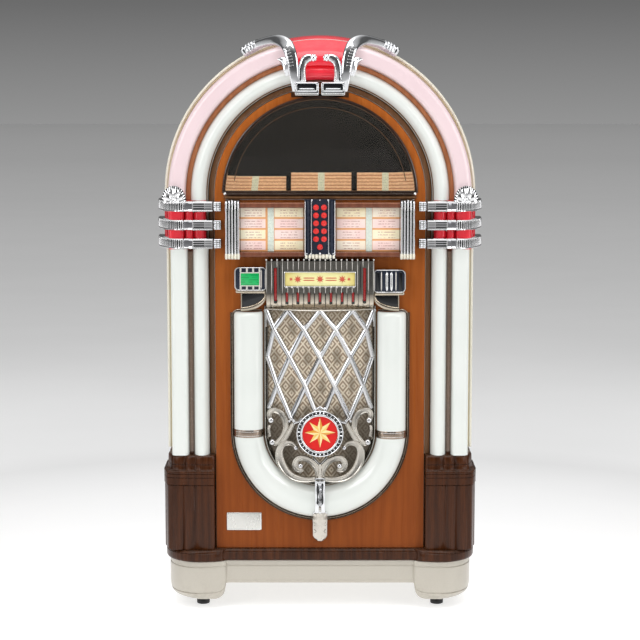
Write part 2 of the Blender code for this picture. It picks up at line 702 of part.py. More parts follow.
def build_plastics():
    outer_u = ARCH_RADIUS - MOULDING_WIDTH - GAP
    front = outer_curve(OUTER_LOW, outer_u)
    behind = outer_curve(OUTER_LOW, outer_u, PLASTIC_WALL)
    outer = shell_section(front, behind)
    tube = shell_section(tube_section(), tube_section(PLASTIC_WALL))
    end_angle = math.pi / 2 - KEYSTONE_HALF_ANGLE - GAP
    arch = arch_stations(COLLAR_HIGH_Z + GAP, end_angle)
    column = column_stations(COLUMN_LOW_Z + GAP, COLLAR_LOW_Z - GAP)
    for label, side in SIDES.items():
        station_sweep(f"arch_outer_{label}", outer, arch, side, PINK_PLASTIC)
        station_sweep(f"arch_inner_{label}", tube, arch, side, WHITE_PLASTIC)
        shifts = [COLUMN_INSET] * len(column)
        station_sweep(f"column_outer_{label}", outer, column, side, WHITE_PLASTIC, shifts)
        shifts = [TUBE_INSET] * len(column)
        station_sweep(f"column_inner_{label}", tube, column, side, WHITE_PLASTIC, shifts)
        collar = column_stations(COLLAR_LOW_Z, COLLAR_HIGH_Z)
        station_sweep(f"collar_{label}", solid_lobe_section(), collar, side, RED_PLASTIC)
        middle_u = (INNER_TUBE_HIGH - TUBE_INSET + OUTER_LOW - COLUMN_INSET) / 2
        levels = [(COLUMN_LOW_Z + GAP, BUBBLE_RADIUS), (COLLAR_LOW_Z - GAP, BUBBLE_RADIUS)]
        tube_y = FRAME_FACE_Y - GAP - BUBBLE_RADIUS
        post(f"bubble_tube_{label}", (side * middle_u, tube_y), levels, 16, CLEAR)

    half, steps = KEYSTONE_HALF_ANGLE, CORNER_SEGMENTS + 3
    turns = [math.pi / 2 - half + 2 * half * step / steps for step in range(steps + 1)]
    keystone = [(ARCH_Z, turn) for turn in turns]
    station_sweep("keystone", solid_lobe_section(), keystone, 1, RED_PLASTIC)

    jog_z = COLLAR_LOW_Z - GAP
    rise = arch_stations(jog_z, end_angle)
    rise += keystone + [(z, math.pi - turn) for z, turn in rise[:0:-1]]
    foot = [(PILASTER_TOP_Z, 0.0), (jog_z - COLUMN_INSET, 0.0)]
    stations = foot + rise
    far = [(jog_z, math.pi), (jog_z - COLUMN_INSET, math.pi), (PILASTER_TOP_Z, math.pi)]
    stations += far
    narrow, full = moulding_section(COLUMN_INSET * 0.75), moulding_section(0.0)
    sections = [narrow] * 2 + [full] * (len(rise) + 1) + [narrow] * 2
    rings = []
    for section, (z, turn) in zip(sections, stations):
        out_x, out_z = math.cos(turn), math.sin(turn)
        rings.append([Vector((u * out_x, y, z + u * out_z)) for u, y in section])
    loft("outer_moulding", rings, CREAM)


def band_plan():
    """Plan of a chrome band for the right side: its back fits over the red collar."""
    outer_u = ARCH_RADIUS - MOULDING_WIDTH - GAP
    lobe = lobe_curve()
    tube_front = FRAME_FACE_Y - INNER_TUBE_RISE - BAND_PROUD
    nose_front = FRAME_FACE_Y - OUTER_NOSE_RISE - BAND_PROUD
    front = [
        (BAND_SEAM_HALF, tube_front),
        (INNER_TUBE_HIGH, tube_front),
        (OUTER_LOW, nose_front),
        (OUTER_NOSE, nose_front),
    ]
    for u, y in lobe:
        if u > OUTER_NOSE + GAP:
            share = (u - OUTER_NOSE) / (outer_u - OUTER_NOSE)
            front.append((u + BAND_SIDE_PROUD * share, y - BAND_PROUD * (1 - share)))
    wrap_u, wrap_y = front[-1][0], front[-1][1] + BAND_PROUD / 2
    moulding_u = ARCH_RADIUS + GAP * 2
    front += [(wrap_u, wrap_y), (moulding_u, wrap_y)]

    back = offset_curve(lobe, GAP * 2)
    end_u, end_y = back[-1][0], back[-1][1] - MOULDING_WIDTH
    back = [point for point in back if point[1] < end_y - GAP]
    seam_y = FRAME_FACE_Y - GAP * 2
    seam = [(INNER_TUBE_LOW - GAP * 2, seam_y), (BAND_SEAM_HALF, seam_y)]
    return front + [(moulding_u, end_y), (end_u, end_y)] + back[::-1] + seam


def build_bands():
    for label, side in SIDES.items():
        plan = [(side * u, y) for u, y in band_plan()]
        for at, tier in enumerate(BAND_TIERS):
            low_z = BAND_LOW_Z + at * BAND_PITCH
            band = prism_z(f"band_{tier}_{label}", plan, low_z, low_z + BAND_HEIGHT, CHROME)
            if tier == BAND_TIERS[-1]:
                build_crest(band, label, side, low_z + BAND_HEIGHT)


def build_crest(band, label, side, low_z):
    """Fan-shaped crest that stands on the upper band in front of the arch plastic."""
    crest_u = (OUTER_NOSE + ARCH_RADIUS - MOULDING_WIDTH) / 2
    front_y = FRAME_FACE_Y - OUTER_NOSE_RISE - BAND_PROUD + GAP
    foot = low_z - BAND_HEIGHT / 2
    steps = CORNER_SEGMENTS + 3
    fan = []
    for step in range(steps + 1):
        turn = math.pi * step / steps
        swell = 1 + CREST_SWELL_SHARE * (step % 2)
        fan.append((CREST_WIDTH / 2 * swell * math.cos(turn), CREST_HEIGHT * math.sin(turn)))
    rings = []
    for depth, share in ((0.0, 0.8), (CREST_THICKNESS / 2, 1.0), (CREST_THICKNESS, 0.9)):
        ring = []
        for x, z in fan:
            ring.append(Vector((side * (crest_u + x * share), front_y + depth, foot + z * share)))
        rings.append(ring)
    crest = loft(f"crest_tool_{label}", rings, CHROME)
    fuse(band, crest)


# Centre lines of the right crown casting: shares of the arch's radius sideways and up
# from its centre, with a share of CROWN_AHEAD in front of the lit plastic between them.
CROWN_ARM_SHARES = [
    (0.117, 1.0, 0.740), (0.117, 1.0, 0.800), (0.108, 1.0, 0.845), (0.080, 1.0, 0.869),
    (0.038, 1.0, 0.862),
]
CROWN_STRAP_SHARES = [
    (0.160, 1.0, 0.705), (0.172, 1.0, 0.765), (0.174, 0.92, 0.835), (0.190, 0.23, 0.905),
    (0.217, -1.15, 0.962), (0.267, -2.38, 0.985), (0.334, -3.19, 0.982), (0.404, -3.77, 0.955),
    (0.457, -4.15, 0.921), (0.485, -4.31, 0.883),
]
CROWN_ROOT_SHARES = {"arm": 0.117, "strap": 0.140}
CROWN_STRAP_TAPER_SHARES = [
    (1.0, 1.0), (1.0, 1.0), (1.1, 1.0), (1.0, 1.0), (0.9, 1.2), (0.6, 1.8), (0.42, 2.4),
    (0.45, 2.6), (0.6, 2.4), (0.8, 1.8), (0.8, 1.4),
]
CROWN_LEAF_SHARES = [(0.165, 0.92, 0.735), (0.200, 0.92, 0.790), (0.274, 0.69, 0.846)]
CROWN_LEAF_TAPER_SHARES = [(1.0, 1.0), (0.9, 0.9), (0.2, 0.4)]


def crown_path(name, shares, side):
    """Centre line of one crown part; the arm and the strap start inside the block."""
    front_y = FRAME_FACE_Y - OUTER_NOSE_RISE
    path = [
        (side * across * ARCH_RADIUS, front_y - ahead * CROWN_AHEAD, ARCH_Z + up * ARCH_RADIUS)
        for across, ahead, up in shares
    ]
    if name in CROWN_ROOT_SHARES:
        root_x = side * CROWN_ROOT_SHARES[name] * ARCH_RADIUS
        root_z = CROWN_BLOCK_Z + CROWN_BLOCK_HEIGHT / 2
        path.insert(0, (root_x, front_y - CROWN_AHEAD, root_z))
    return path


def build_crown():
    top_z = CROWN_BLOCK_Z + CROWN_BLOCK_HEIGHT
    block_back = FRAME_FACE_Y - INNER_TUBE_RISE - CHORD_GAP
    for label, side in SIDES.items():
        low_x, high_x = sorted((side * CROWN_SEAM_HALF, side * CROWN_BLOCK_HALF))
        block = box(
            f"crown_casting_{label}",
            (low_x, CROWN_FRONT_Y, CROWN_BLOCK_Z),
            (high_x, block_back, top_z),
            CHROME,
        )
        inset = CROWN_LUG_INSET
        lug = box(
            f"crown_lug_{label}",
            (low_x + inset, CROWN_FRONT_Y + inset, CROWN_BLOCK_Z + inset),
            (high_x - inset, FRAME_FACE_Y - GAP, top_z - inset),
            CHROME,
        )
        fuse(block, lug)
        margin = CROWN_PANEL_MARGIN
        recess = box(
            f"crown_recess_{label}",
            (low_x + margin, CROWN_FRONT_Y - CROWN_PANEL_DEPTH, CROWN_BLOCK_Z + margin),
            (high_x - margin, CROWN_FRONT_Y + CROWN_PANEL_DEPTH, top_z - margin),
            CHROME,
        )
        cut(block, recess)
        for name, shares, width, depth, taper in (
            ("arm", CROWN_ARM_SHARES, ARM_WIDTH, ARM_DEPTH, None),
            ("strap", CROWN_STRAP_SHARES, STRAP_WIDTH, STRAP_DEPTH, CROWN_STRAP_TAPER_SHARES),
            ("leaf", CROWN_LEAF_SHARES, STRAP_WIDTH, ARM_DEPTH, CROWN_LEAF_TAPER_SHARES),
        ):
            path = crown_path(name, shares, side)
            fuse(block, swept_bar(f"crown_{name}_{label}", path, width, depth, CHROME, taper, 8))


def build_door():
    door = prism_y(
        "door_panel",
        arch_outline(DOOR_HALF, ARCH_Z, DOOR_BOTTOM_Z),
        DOOR_FACE_Y,
        DOOR_FACE_Y + DOOR_THICKNESS,
        DOOR_WOOD,
    )
    through = (DOOR_FACE_Y - DOOR_THICKNESS, DOOR_FACE_Y + DOOR_THICKNESS * 2)
    turns = [math.pi * step / (ARC_SEGMENTS * 2) for step in range(ARC_SEGMENTS * 2 + 1)]

    def half_disc(radius, sill_z):
        start = math.asin((sill_z - ARCH_Z) / radius)
        span = math.pi - 2 * start
        return [
            (radius * math.cos(start + span * t / math.pi),
             ARCH_Z + radius * math.sin(start + span * t / math.pi))
            for t in turns
        ]

    window = prism_y("window_cutter", half_disc(WINDOW_RADIUS, WINDOW_SILL_Z), *through, DOOR_WOOD)
    cut(door, window)
    notch = box(
        "door_notch",
        (-DOOR_NOTCH_HALF, through[0], DOOR_NOTCH_Z),
        (DOOR_NOTCH_HALF, through[1], HEIGHT),
        DOOR_WOOD,
    )
    cut(door, notch)
    grille_hole = prism_y(
        "grille_cutter",
        u_outline(GRILLE_OPENING_HALF, U_CENTRE_Z, ESCUTCHEON_LOW_Z - GRILLE_RIM),
        *through,
        DOOR_WOOD,
    )
    cut(door, grille_hole)

    bezel_back = DOOR_FACE_Y + DOOR_THICKNESS
    bezel_front = DOOR_FACE_Y - BEZEL_PROUD
    bezel = prism_y(
        "window_bezel",
        half_disc(WINDOW_RADIUS - GAP, WINDOW_SILL_Z + GAP),
        bezel_front,
        bezel_back,
        DARK_METAL,
    )
    opening = prism_y(
        "bezel_cutter",
        half_disc(WINDOW_RADIUS - BEZEL_WIDTH, WINDOW_SILL_Z + BEZEL_WIDTH),
        bezel_front - BEZEL_PROUD,
        bezel_back + BEZEL_PROUD,
        DARK_METAL,
    )
    cut(bezel, opening)
    glass_y = DOOR_FACE_Y + GLASS_SETBACK
    prism_y(
        "window_glass",
        half_disc(WINDOW_RADIUS - BEZEL_WIDTH - GAP, WINDOW_SILL_Z + BEZEL_WIDTH + GAP),
        glass_y,
        glass_y + GLASS_THICKNESS,
        GLASS,
    )


def build_rack():
    base_y = DOOR_FACE_Y - GAP
    plate_y = base_y - RACK_PLATE
    rack = box(
        "title_rack",
        (-RACK_HALF, plate_y, RACK_LOW_Z),
        (RACK_HALF, base_y, RACK_HIGH_Z),
        DARK_WOOD,
    )
    half = BRACKET_INNER - GAP
    proud_y = DOOR_FACE_Y - RACK_PROUD
    step = RACK_MOULDING / 3
    for label, low_z, direction in (("low", RACK_LOW_Z, 1), ("high", RACK_HIGH_Z, -1)):
        profile = [
            (plate_y + step, low_z),
            (plate_y - step, low_z),
            (proud_y, low_z + direction * step),
            (proud_y, low_z + direction * RACK_MOULDING),
            (plate_y + step, low_z + direction * RACK_MOULDING),
        ]
        for hand, side in SIDES.items():
            low_x, high_x = sorted((side * (KEYPAD_HALF + GAP), side * half))
            bar = prism_x(f"rack_moulding_{label}_{hand}", profile, low_x, high_x, DARK_WOOD)
            fuse(rack, bar)
    card_y = plate_y - GAP
    box(
        "title_cards",
        (-half, card_y - CARD_THICKNESS, RACK_LOW_Z + RACK_MOULDING + GAP),
        (half, card_y, RACK_HIGH_Z - RACK_MOULDING - GAP),
        PAPER,
    )

    front_y = DOOR_FACE_Y - BRACKET_PROUD
    flute = (RACK_HALF - BRACKET_INNER) / BRACKET_FLUTES
    back_y = plate_y - GAP
    for label, side in SIDES.items():
        outline = [(BRACKET_INNER, back_y)]
        for at in range(BRACKET_FLUTES):
            start = BRACKET_INNER + at * flute
            dome = RIB_HEIGHT * (2 - abs(at - (BRACKET_FLUTES - 1) / 2))
            outline += [
                (start + flute * 0.08, front_y + RIB_HEIGHT * 2 - dome + RIB_HEIGHT),
                (start + flute * 0.3, front_y + RIB_HEIGHT * 2 - dome),
                (start + flute * 0.7, front_y + RIB_HEIGHT * 2 - dome),
                (start + flute * 0.92, front_y + RIB_HEIGHT * 2 - dome + RIB_HEIGHT),
            ]
        outline.append((RACK_HALF, back_y))
        outline = [(side * x, y) for x, y in outline]
        prism_z(f"bracket_{label}", outline, BRACKET_LOW_Z, BRACKET_HIGH_Z, CHROME)

    card_front = card_y - CARD_THICKNESS - GAP
    face_y = DOOR_FACE_Y - KEYPAD_FACE_PROUD
    ridge_y = DOOR_FACE_Y - KEYPAD_PROUD
    rib = (KEYPAD_HALF - KEYPAD_FACE_HALF) / 3
    half_plan = [
        (KEYPAD_FACE_HALF, face_y),
        (KEYPAD_FACE_HALF, ridge_y),
        (KEYPAD_FACE_HALF + rib, ridge_y),
        (KEYPAD_FACE_HALF + rib * 1.5, ridge_y + rib / 2),
        (KEYPAD_FACE_HALF + rib * 2, ridge_y),
        (KEYPAD_HALF, ridge_y + rib),
        (KEYPAD_HALF, card_front),
    ]
    plan = half_plan + [(-x, y) for x, y in reversed(half_plan)]
    keypad = prism_z("keypad_housing", plan, BRACKET_LOW_Z, BRACKET_HIGH_Z, CHROME)

    spots = []
    for row in range(BUTTON_ROWS):
        z = BUTTON_TOP_Z - row * BUTTON_PITCH
        spots += [(-BUTTON_X, z), (BUTTON_X, z)]
    spots.append((0.0, BUTTON_TOP_Z - BUTTON_ROWS * BUTTON_PITCH))
    hole = BUTTON_RADIUS + BUTTON_CLEARANCE
    button_y = face_y - BUTTON_PROUD
    pocket = button_y + BUTTON_LENGTH + BUTTON_TRAVEL + GAP
    bores = loft_many(
        "button_bores",
        [disc_rings(spot, (ridge_y - BUTTON_PROUD, pocket), (hole, hole), 16) for spot in spots],
        CHROME,
    )
    cut(keypad, bores)
    for at, spot in enumerate(spots):
        lip = BUTTON_RADIUS / 5
        radii = (BUTTON_RADIUS - lip, BUTTON_RADIUS, BUTTON_RADIUS)
        rings = disc_rings((0.0, 0.0), (0.0, lip, BUTTON_LENGTH), radii, 14)
        button = loft(f"button_{at + 1:02d}", rings, RED_PLASTIC, smooth=True)
        button.location = (spot[0], button_y, spot[1])


def build_escutcheon():
    base_y = DOOR_FACE_Y - GAP
    front_y = DOOR_FACE_Y - ESCUTCHEON_PROUD
    rib = 2 * ESCUTCHEON_HALF / ESCUTCHEON_RIBS
    plan = [(-ESCUTCHEON_HALF, base_y)]
    for at in range(ESCUTCHEON_RIBS):
        start = -ESCUTCHEON_HALF + at * rib
        plan += [
            (start + rib * 0.08, front_y + RIB_HEIGHT),
            (start + rib * 0.28, front_y),
            (start + rib * 0.72, front_y),
            (start + rib * 0.92, front_y + RIB_HEIGHT),
        ]
    plan.append((ESCUTCHEON_HALF, base_y))
    body = prism_z("escutcheon", plan, ESCUTCHEON_LOW_Z, ESCUTCHEON_HIGH_Z, CHROME)

    turns = [math.pi / 2 * step / CORNER_SEGMENTS for step in range(CORNER_SEGMENTS + 1)]
    roll = ESCUTCHEON_ROLL
    arc = [
        (front_y + roll * (1 - math.cos(t)), ESCUTCHEON_LOW_Z + roll * (1 - math.sin(t)))
        for t in turns
    ]
    spare = roll / 2
    corner = arc + [
        (front_y + roll, ESCUTCHEON_LOW_Z - spare),
        (front_y - spare, ESCUTCHEON_LOW_Z - spare),
        (front_y - spare, ESCUTCHEON_LOW_Z + roll),
    ]
    reach = ESCUTCHEON_HALF + roll
    cut(body, prism_x("escutcheon_roll", corner, -reach, reach, CHROME))

    def recess(name, low_x, high_x, low_z, high_z, depth):
        tool = box(name, (low_x, front_y - depth, low_z), (high_x, front_y + depth, high_z), CHROME)
        cut(body, tool)

    recess("name_recess", -NAME_HALF, NAME_HALF, NAME_LOW_Z, NAME_HIGH_Z, RECESS_DEPTH)
    for label, side in SIDES.items():
        low_x = side * LONG_SLOT_X - LONG_SLOT_WIDTH / 2
        recess(f"long_slot_{label}", low_x, low_x + LONG_SLOT_WIDTH, SLOT_LOW_Z,
               SLOT_LOW_Z + LONG_SLOT_LENGTH, RECESS_DEPTH)
    pitch = 2 * NAME_HALF * SHORT_SLOT_SPAN_SHARE / (SHORT_SLOT_COUNT - 1)
    for at in range(SHORT_SLOT_COUNT):
        middle = (at - (SHORT_SLOT_COUNT - 1) / 2) * pitch
        recess(f"short_slot_{at}", middle - SHORT_SLOT_WIDTH / 2, middle + SHORT_SLOT_WIDTH / 2,
               SLOT_LOW_Z, SLOT_LOW_Z + SHORT_SLOT_LENGTH, RECESS_DEPTH * 2)

    overlap = rib / 2
    housing_y = DOOR_FACE_Y - HOUSING_PROUD
    corner_cut = LCD_MARGIN / 2
    for label, side, low_z, high_z in (
        ("display", -1, DISPLAY_LOW_Z, DISPLAY_HIGH_Z),
        ("coin", 1, COIN_LOW_Z, COIN_HIGH_Z),
    ):
        outline = [
            (ESCUTCHEON_HALF - overlap, low_z),
            (HOUSING_OUTER - corner_cut, low_z),
            (HOUSING_OUTER, low_z + corner_cut),
            (HOUSING_OUTER, high_z - corner_cut),
            (HOUSING_OUTER - corner_cut, high_z),
            (ESCUTCHEON_HALF - overlap, high_z),
        ]
        outline = [(side * x, z) for x, z in outline]
        fuse(body, prism_y(f"{label}_housing", outline, housing_y, base_y - GAP, CHROME))
        corbel = [(ESCUTCHEON_HALF - overlap, low_z + corner_cut),
                  (CORBEL_OUTER, low_z + corner_cut), (CORBEL_OUTER, CORBEL_LOW_Z)]
        reach_x = CORBEL_OUTER - ESCUTCHEON_HALF + overlap
        reach_z = ESCUTCHEON_LOW_Z - CORBEL_LOW_Z + reach_x / 3
        for t in turns[1:]:
            corbel.append((CORBEL_OUTER - reach_x * math.sin(t),
                           CORBEL_LOW_Z + reach_z * (1 - math.cos(t))))
        corbel = [(side * x, z) for x, z in corbel]
        corbel_y = DOOR_FACE_Y - CORBEL_PROUD + corner_cut
        fuse(body, prism_y(f"{label}_corbel", corbel, corbel_y, base_y - GAP * 2, CHROME))
    lcd = box(
        "lcd_recess",
        (-LCD_HIGH_X, housing_y - RECESS_DEPTH, DISPLAY_LOW_Z + LCD_MARGIN),
        (-LCD_LOW_X, housing_y + RECESS_DEPTH, DISPLAY_HIGH_Z - LCD_MARGIN),
        CHROME,
    )
    cut(body, lcd)
    coin_z = (COIN_LOW_Z + COIN_HIGH_Z) / 2
    bar = box(
        "coin_bar",
        (COIN_SLOT_X - COIN_BAR_HALF, housing_y - COIN_BAR_PROUD, COIN_LOW_Z + corner_cut),
        (COIN_SLOT_X + COIN_BAR_HALF, housing_y + COIN_BAR_PROUD, COIN_HIGH_Z - corner_cut),
        CHROME,
    )
    fuse(body, bar)
    slot = box(
        "coin_slot",
        (COIN_SLOT_X - COIN_SLOT_WIDTH / 2, housing_y - COIN_BAR_PROUD * 2,
         coin_z - COIN_SLOT_LENGTH / 2),
        (COIN_SLOT_X + COIN_SLOT_WIDTH / 2, housing_y + COIN_BAR_PROUD * 2,
         coin_z + COIN_SLOT_LENGTH / 2),
        CHROME,
    )
    cut(body, slot)


def grille_surface_y(x):
    """Front of the grille's bars: a bulge that falls away towards the sides."""
    share = min(abs(x) / GRILLE_HALF, 1.0)
    return DOOR_FACE_Y - GRILLE_BACK_RISE - GRILLE_BULGE * (1 - share * share)


def on_grille(points):
    return [(x, grille_surface_y(x), z) for x, z in points]


# The lattice: rows of crossings as shares of the height from the medallion to the top rail,
# and each row's crossings as shares of the grille's half width. The last row has ends of
# its own: beside the bead ring, and on the side scrolls.
LATTICE_ROW_SHARES = (0.8265, 0.608, 0.381, 0.123)
LATTICE_SCROLL_SHARE = 0.187
LATTICE_COLUMN_SHARES = (
    (-1.0, -0.57, 0.0, 0.57, 1.0),
    (-0.82, -0.282, 0.282, 0.82),
    (-0.935, -0.538, 0.0, 0.538, 0.935),
    (-0.764, -0.26, 0.26, 0.764),
    (-0.93, -0.52, -0.08, 0.08, 0.52, 0.93),
)
# Scrolls of the left side, as shares of the grille's half width across, and up from its
# lowest point. The last number of each entry is the bar's share of SCROLL_WIDTH.
SCROLL_SHARES = {
    "side_scroll": ([
        (-0.848, 1.185), (-0.790, 1.245), (-0.815, 1.325), (-0.890, 1.335), (-0.925, 1.400),
        (-0.807, 1.430), (-0.670, 1.313), (-0.600, 1.143), (-0.618, 0.978), (-0.691, 0.829),
        (-0.791, 0.735), (-0.870, 0.763),
    ], 1.0),
    "low_scroll": ([
        (-0.394, 0.721), (-0.460, 0.800), (-0.560, 0.815), (-0.655, 0.752), (-0.700, 0.608),
        (-0.587, 0.385), (-0.394, 0.226), (-0.196, 0.168), (-0.040, 0.165),
    ], 1.2),
    "volute": ([
        (-0.052, 0.425), (-0.183, 0.545), (-0.333, 0.580), (-0.442, 0.482), (-0.415, 0.360),
        (-0.317, 0.325), (-0.262, 0.400),
    ], 1.0),
    "brace": ([(-0.520, 1.30), (-0.609, 0.960), (-0.664, 0.760)], 0.8),
    "side_link": ([(-0.865, 1.204), (-0.908, 1.018), (-0.861, 0.770)], 0.7),
}
STEM_SHARE = 0.30
STEM_WIDTH_SHARE = 1.5


def lattice_paths(rail_z):
    """The diagonals on one hand, as paths of points on the grille's bulge."""
    edge = GRILLE_HALF - GRILLE_RIM / 2
    rise = rail_z - MEDALLION_Z
    row_z = [rail_z] + [MEDALLION_Z + share * rise for share in LATTICE_ROW_SHARES]
    nodes = {
        (row, at): (share * GRILLE_HALF, row_z[row])
        for row, shares in enumerate(LATTICE_COLUMN_SHARES)
        for at, share in enumerate(shares)
    }
    nodes[(0, 0)], nodes[(0, 4)] = (-edge, rail_z), (edge, rail_z)
    for at in (2, 3):
        ring_top = MEDALLION_Z + BEAD_RING_RADIUS - LATTICE_WIDTH / 2
        nodes[(4, at)] = (nodes[(4, at)][0], ring_top)
    for at in (0, 5):
        nodes[(4, at)] = (nodes[(4, at)][0], MEDALLION_Z + LATTICE_SCROLL_SHARE * rise)
    diagonals = (
        ((0, 0), (1, 0), (2, 1), (3, 1), (4, 2)),
        ((0, 1), (1, 1), (2, 2), (3, 2), (4, 4)),
        ((0, 2), (1, 2), (2, 3), (3, 3), (4, 5)),
        ((0, 3), (1, 3), (2, 4)),
        ((2, 0), (3, 0), (4, 1)),
    )
    return [on_grille([nodes[key] for key in diagonal]) for diagonal in diagonals]


def build_grille():
    """Casting with a diamond lattice above, scrolls below and a beaded ring between them."""
    cloth_back = DOOR_FACE_Y - GAP
    cloth_front = cloth_back - CLOTH_THICKNESS
    top_z = ESCUTCHEON_LOW_Z - GAP * 2
    prism_y(
        "grille_cloth",
        u_outline(GRILLE_HALF - GRILLE_RIM / 4, U_CENTRE_Z, top_z - GRILLE_RIM / 4),
        cloth_front,
        cloth_back,
        CLOTH,
    )
    rim_back = cloth_front - GAP
    rim = prism_y(
        "grille_casting",
        u_outline(GRILLE_HALF, U_CENTRE_Z, top_z),
        rim_back - GRILLE_RIM_DEPTH,
        rim_back,
        CHROME,
    )
    opening = prism_y(
        "grille_rim_cutter",
        u_outline(GRILLE_HALF - GRILLE_RIM, U_CENTRE_Z, top_z - GRILLE_RIM),
        rim_back - GRILLE_RIM_DEPTH * 2,
        rim_back + GRILLE_RIM_DEPTH,
        CHROME,
    )
    cut(rim, opening)

    edge = GRILLE_HALF - GRILLE_RIM / 2
    rail_z = top_z - GRILLE_RIM / 2
    steps = CORNER_SEGMENTS + 3
    rail = [(-edge + 2 * edge * at / steps, rail_z) for at in range(steps + 1)]
    bars = [("rail", on_grille(rail), GRILLE_RIM)]
    for at, path in enumerate(lattice_paths(rail_z)):
        bars.append((f"lattice_{at}", path, LATTICE_WIDTH))
        bars.append((f"lattice_{at}_mirror", mirror_points(path), LATTICE_WIDTH))

    half, corner_z = GRILLE_HALF, U_CENTRE_Z - GRILLE_HALF
    for label, (shares, width_share) in SCROLL_SHARES.items():
        path = on_grille([(u * half, corner_z + w * half) for u, w in shares])
        bars.append((label, path, SCROLL_WIDTH * width_share))
        bars.append((f"{label}_mirror", mirror_points(path), SCROLL_WIDTH * width_share))
    stem = on_grille([(0.0, corner_z + GRILLE_RIM / 2), (0.0, corner_z + half * STEM_SHARE),
                      (0.0, MEDALLION_Z - BEAD_RING_RADIUS + LATTICE_WIDTH / 2)])
    bars.append(("stem", stem, SCROLL_WIDTH * STEM_WIDTH_SHARE))

    for label, path, width in bars:
        depth = min(LATTICE_DEPTH * width / LATTICE_WIDTH, SCROLL_WIDTH)
        fuse(rim, swept_bar(f"grille_{label}", path, width, depth, CHROME))

    ring_back = MEDALLION_FACE_Y + BEAD_RING_DEPTH
    ring = loft(
        "grille_bead_ring",
        disc_rings((0.0, MEDALLION_Z), (ring_back, MEDALLION_FACE_Y + GAP * 8,
                                        MEDALLION_FACE_Y - GAP * 4),
                   (BEAD_RING_RADIUS, BEAD_RING_RADIUS, BEAD_RING_RADIUS - LATTICE_WIDTH), 32),
        CHROME,
    )
    fuse(rim, ring)
    seat = MEDALLION_FACE_Y + RECESS_DEPTH
    well = loft(
        "medallion_well",
        disc_rings((0.0, MEDALLION_Z), (FRONT_Y - RECESS_DEPTH, seat),
                   (MEDALLION_RADIUS + GAP, MEDALLION_RADIUS + GAP), 32),
        CHROME,
    )
    cut(rim, well)

    disc_y = (seat - GAP, MEDALLION_FACE_Y + RECESS_DEPTH / 3)
    medallion = loft(
        "medallion",
        disc_rings((0.0, MEDALLION_Z), disc_y, (MEDALLION_RADIUS, MEDALLION_RADIUS), 32),
        GOLD,
    )
    medallion_star(medallion, disc_y[1])


STAR_SHARES = (0.9, 0.68, 0.34)


def medallion_star(medallion, face_y):
    """Star in relief: long and short points in turn, with a raised centre."""
    verts, faces = [], []
    long_tip, short_tip, waist = (MEDALLION_RADIUS * share for share in STAR_SHARES)
    count = STAR_POINTS * 2
    for step in range(count):
        turn = math.pi / 2 + 2 * math.pi * step / count
        if step % 2:
            reach = waist
        else:
            reach = long_tip if (step // 2) % 2 == 0 else short_tip
        verts.append((reach * math.cos(turn), face_y + STAR_RISE / 3,
                      MEDALLION_Z + reach * math.sin(turn)))
    verts += [(x, face_y - STAR_RISE / 6, z) for x, y, z in verts]
    verts.append((0.0, face_y - STAR_RISE, MEDALLION_Z))
    top = len(verts) - 1
    faces.append(tuple(range(count)))
    for step in range(count):
        after = (step + 1) % count
        faces.append((step, after, after + count, step + count))
        faces.append((step + count, after + count, top))
    fuse(medallion, make_object("medallion_star", verts, faces, GOLD))


def build_u_plastic():
    base_y = DOOR_FACE_Y - GAP
    low_u = U_INNER
    high_u = U_OUTER
    front = half_ellipse(low_u, high_u, base_y, U_RISE, 10)
    behind = half_ellipse(low_u + PLASTIC_WALL, high_u - PLASTIC_WALL, base_y,
                          U_RISE - PLASTIC_WALL, 6)
    trim = [(high_u, base_y - U_TRIM_RISE), (U_TRIM_RADIUS, base_y - U_TRIM_RISE),
            (U_TRIM_RADIUS, base_y)]
    section = front[:-2] + trim + behind[::-1]
    turns = [math.pi * step / (ARC_SEGMENTS * 2) for step in range(ARC_SEGMENTS * 2 + 1)]
    stations = [(U_TOP_Z, 0.0)] + [(U_CENTRE_Z, -t) for t in turns] + [(U_TOP_Z, -math.pi)]
    plastic = station_sweep("u_plastic", section, stations, 1, WHITE_PLASTIC)
    for label, side in SIDES.items():
        cap = [(side * u, y) for u, y in front]
        low_z = U_TOP_Z - PLASTIC_WALL
        fuse(plastic, prism_z(f"u_cap_{label}", cap, low_z, U_TOP_Z + GAP, WHITE_PLASTIC))


def build_drop():
    """Strap that hangs from the grille over the foot of the U-shaped plastic to the door."""
    middle = (U_INNER + U_OUTER) / 2
    top_y = FRONT_Y + GAP
    back_top = grille_surface_y(0.0) - SCROLL_WIDTH / 2 - LATTICE_STAGGER - GAP
    under_z = U_CENTRE_Z - U_TRIM_RADIUS - GAP * 2
    over_z = U_CENTRE_Z - middle
    base_y = DOOR_FACE_Y - GAP
    trim_y = base_y - U_TRIM_RISE - GAP * 2
    spare = CHORD_GAP
    back = half_ellipse(U_INNER - spare, U_OUTER + spare, base_y, U_RISE + spare, 12)
    arc = [(y, U_CENTRE_Z - u) for u, y in back if y < trim_y and U_CENTRE_Z - u <= over_z + GAP]
    toe_y = base_y - DROP_THICKNESS
    profile = [(back_top, DROP_TOP_Z - DROP_THICKNESS), (back_top, over_z)] + arc
    profile += [
        (trim_y, arc[-1][1]),
        (trim_y, under_z),
        (base_y, under_z),
        (base_y, DROP_LOW_Z),
        (toe_y, DROP_LOW_Z + DROP_THICKNESS / 3),
        (toe_y - DROP_THICKNESS / 2, under_z - DROP_THICKNESS),
        (back_top + DROP_THICKNESS / 3, under_z + DROP_THICKNESS),
        (top_y, over_z),
        (top_y, DROP_TOP_Z - DROP_THICKNESS / 2),
        (top_y + DROP_THICKNESS / 3, DROP_TOP_Z),
        (back_top, DROP_TOP_Z),
    ]
    prism_x("drop_casting", profile, -DROP_HALF, DROP_HALF, CHROME)


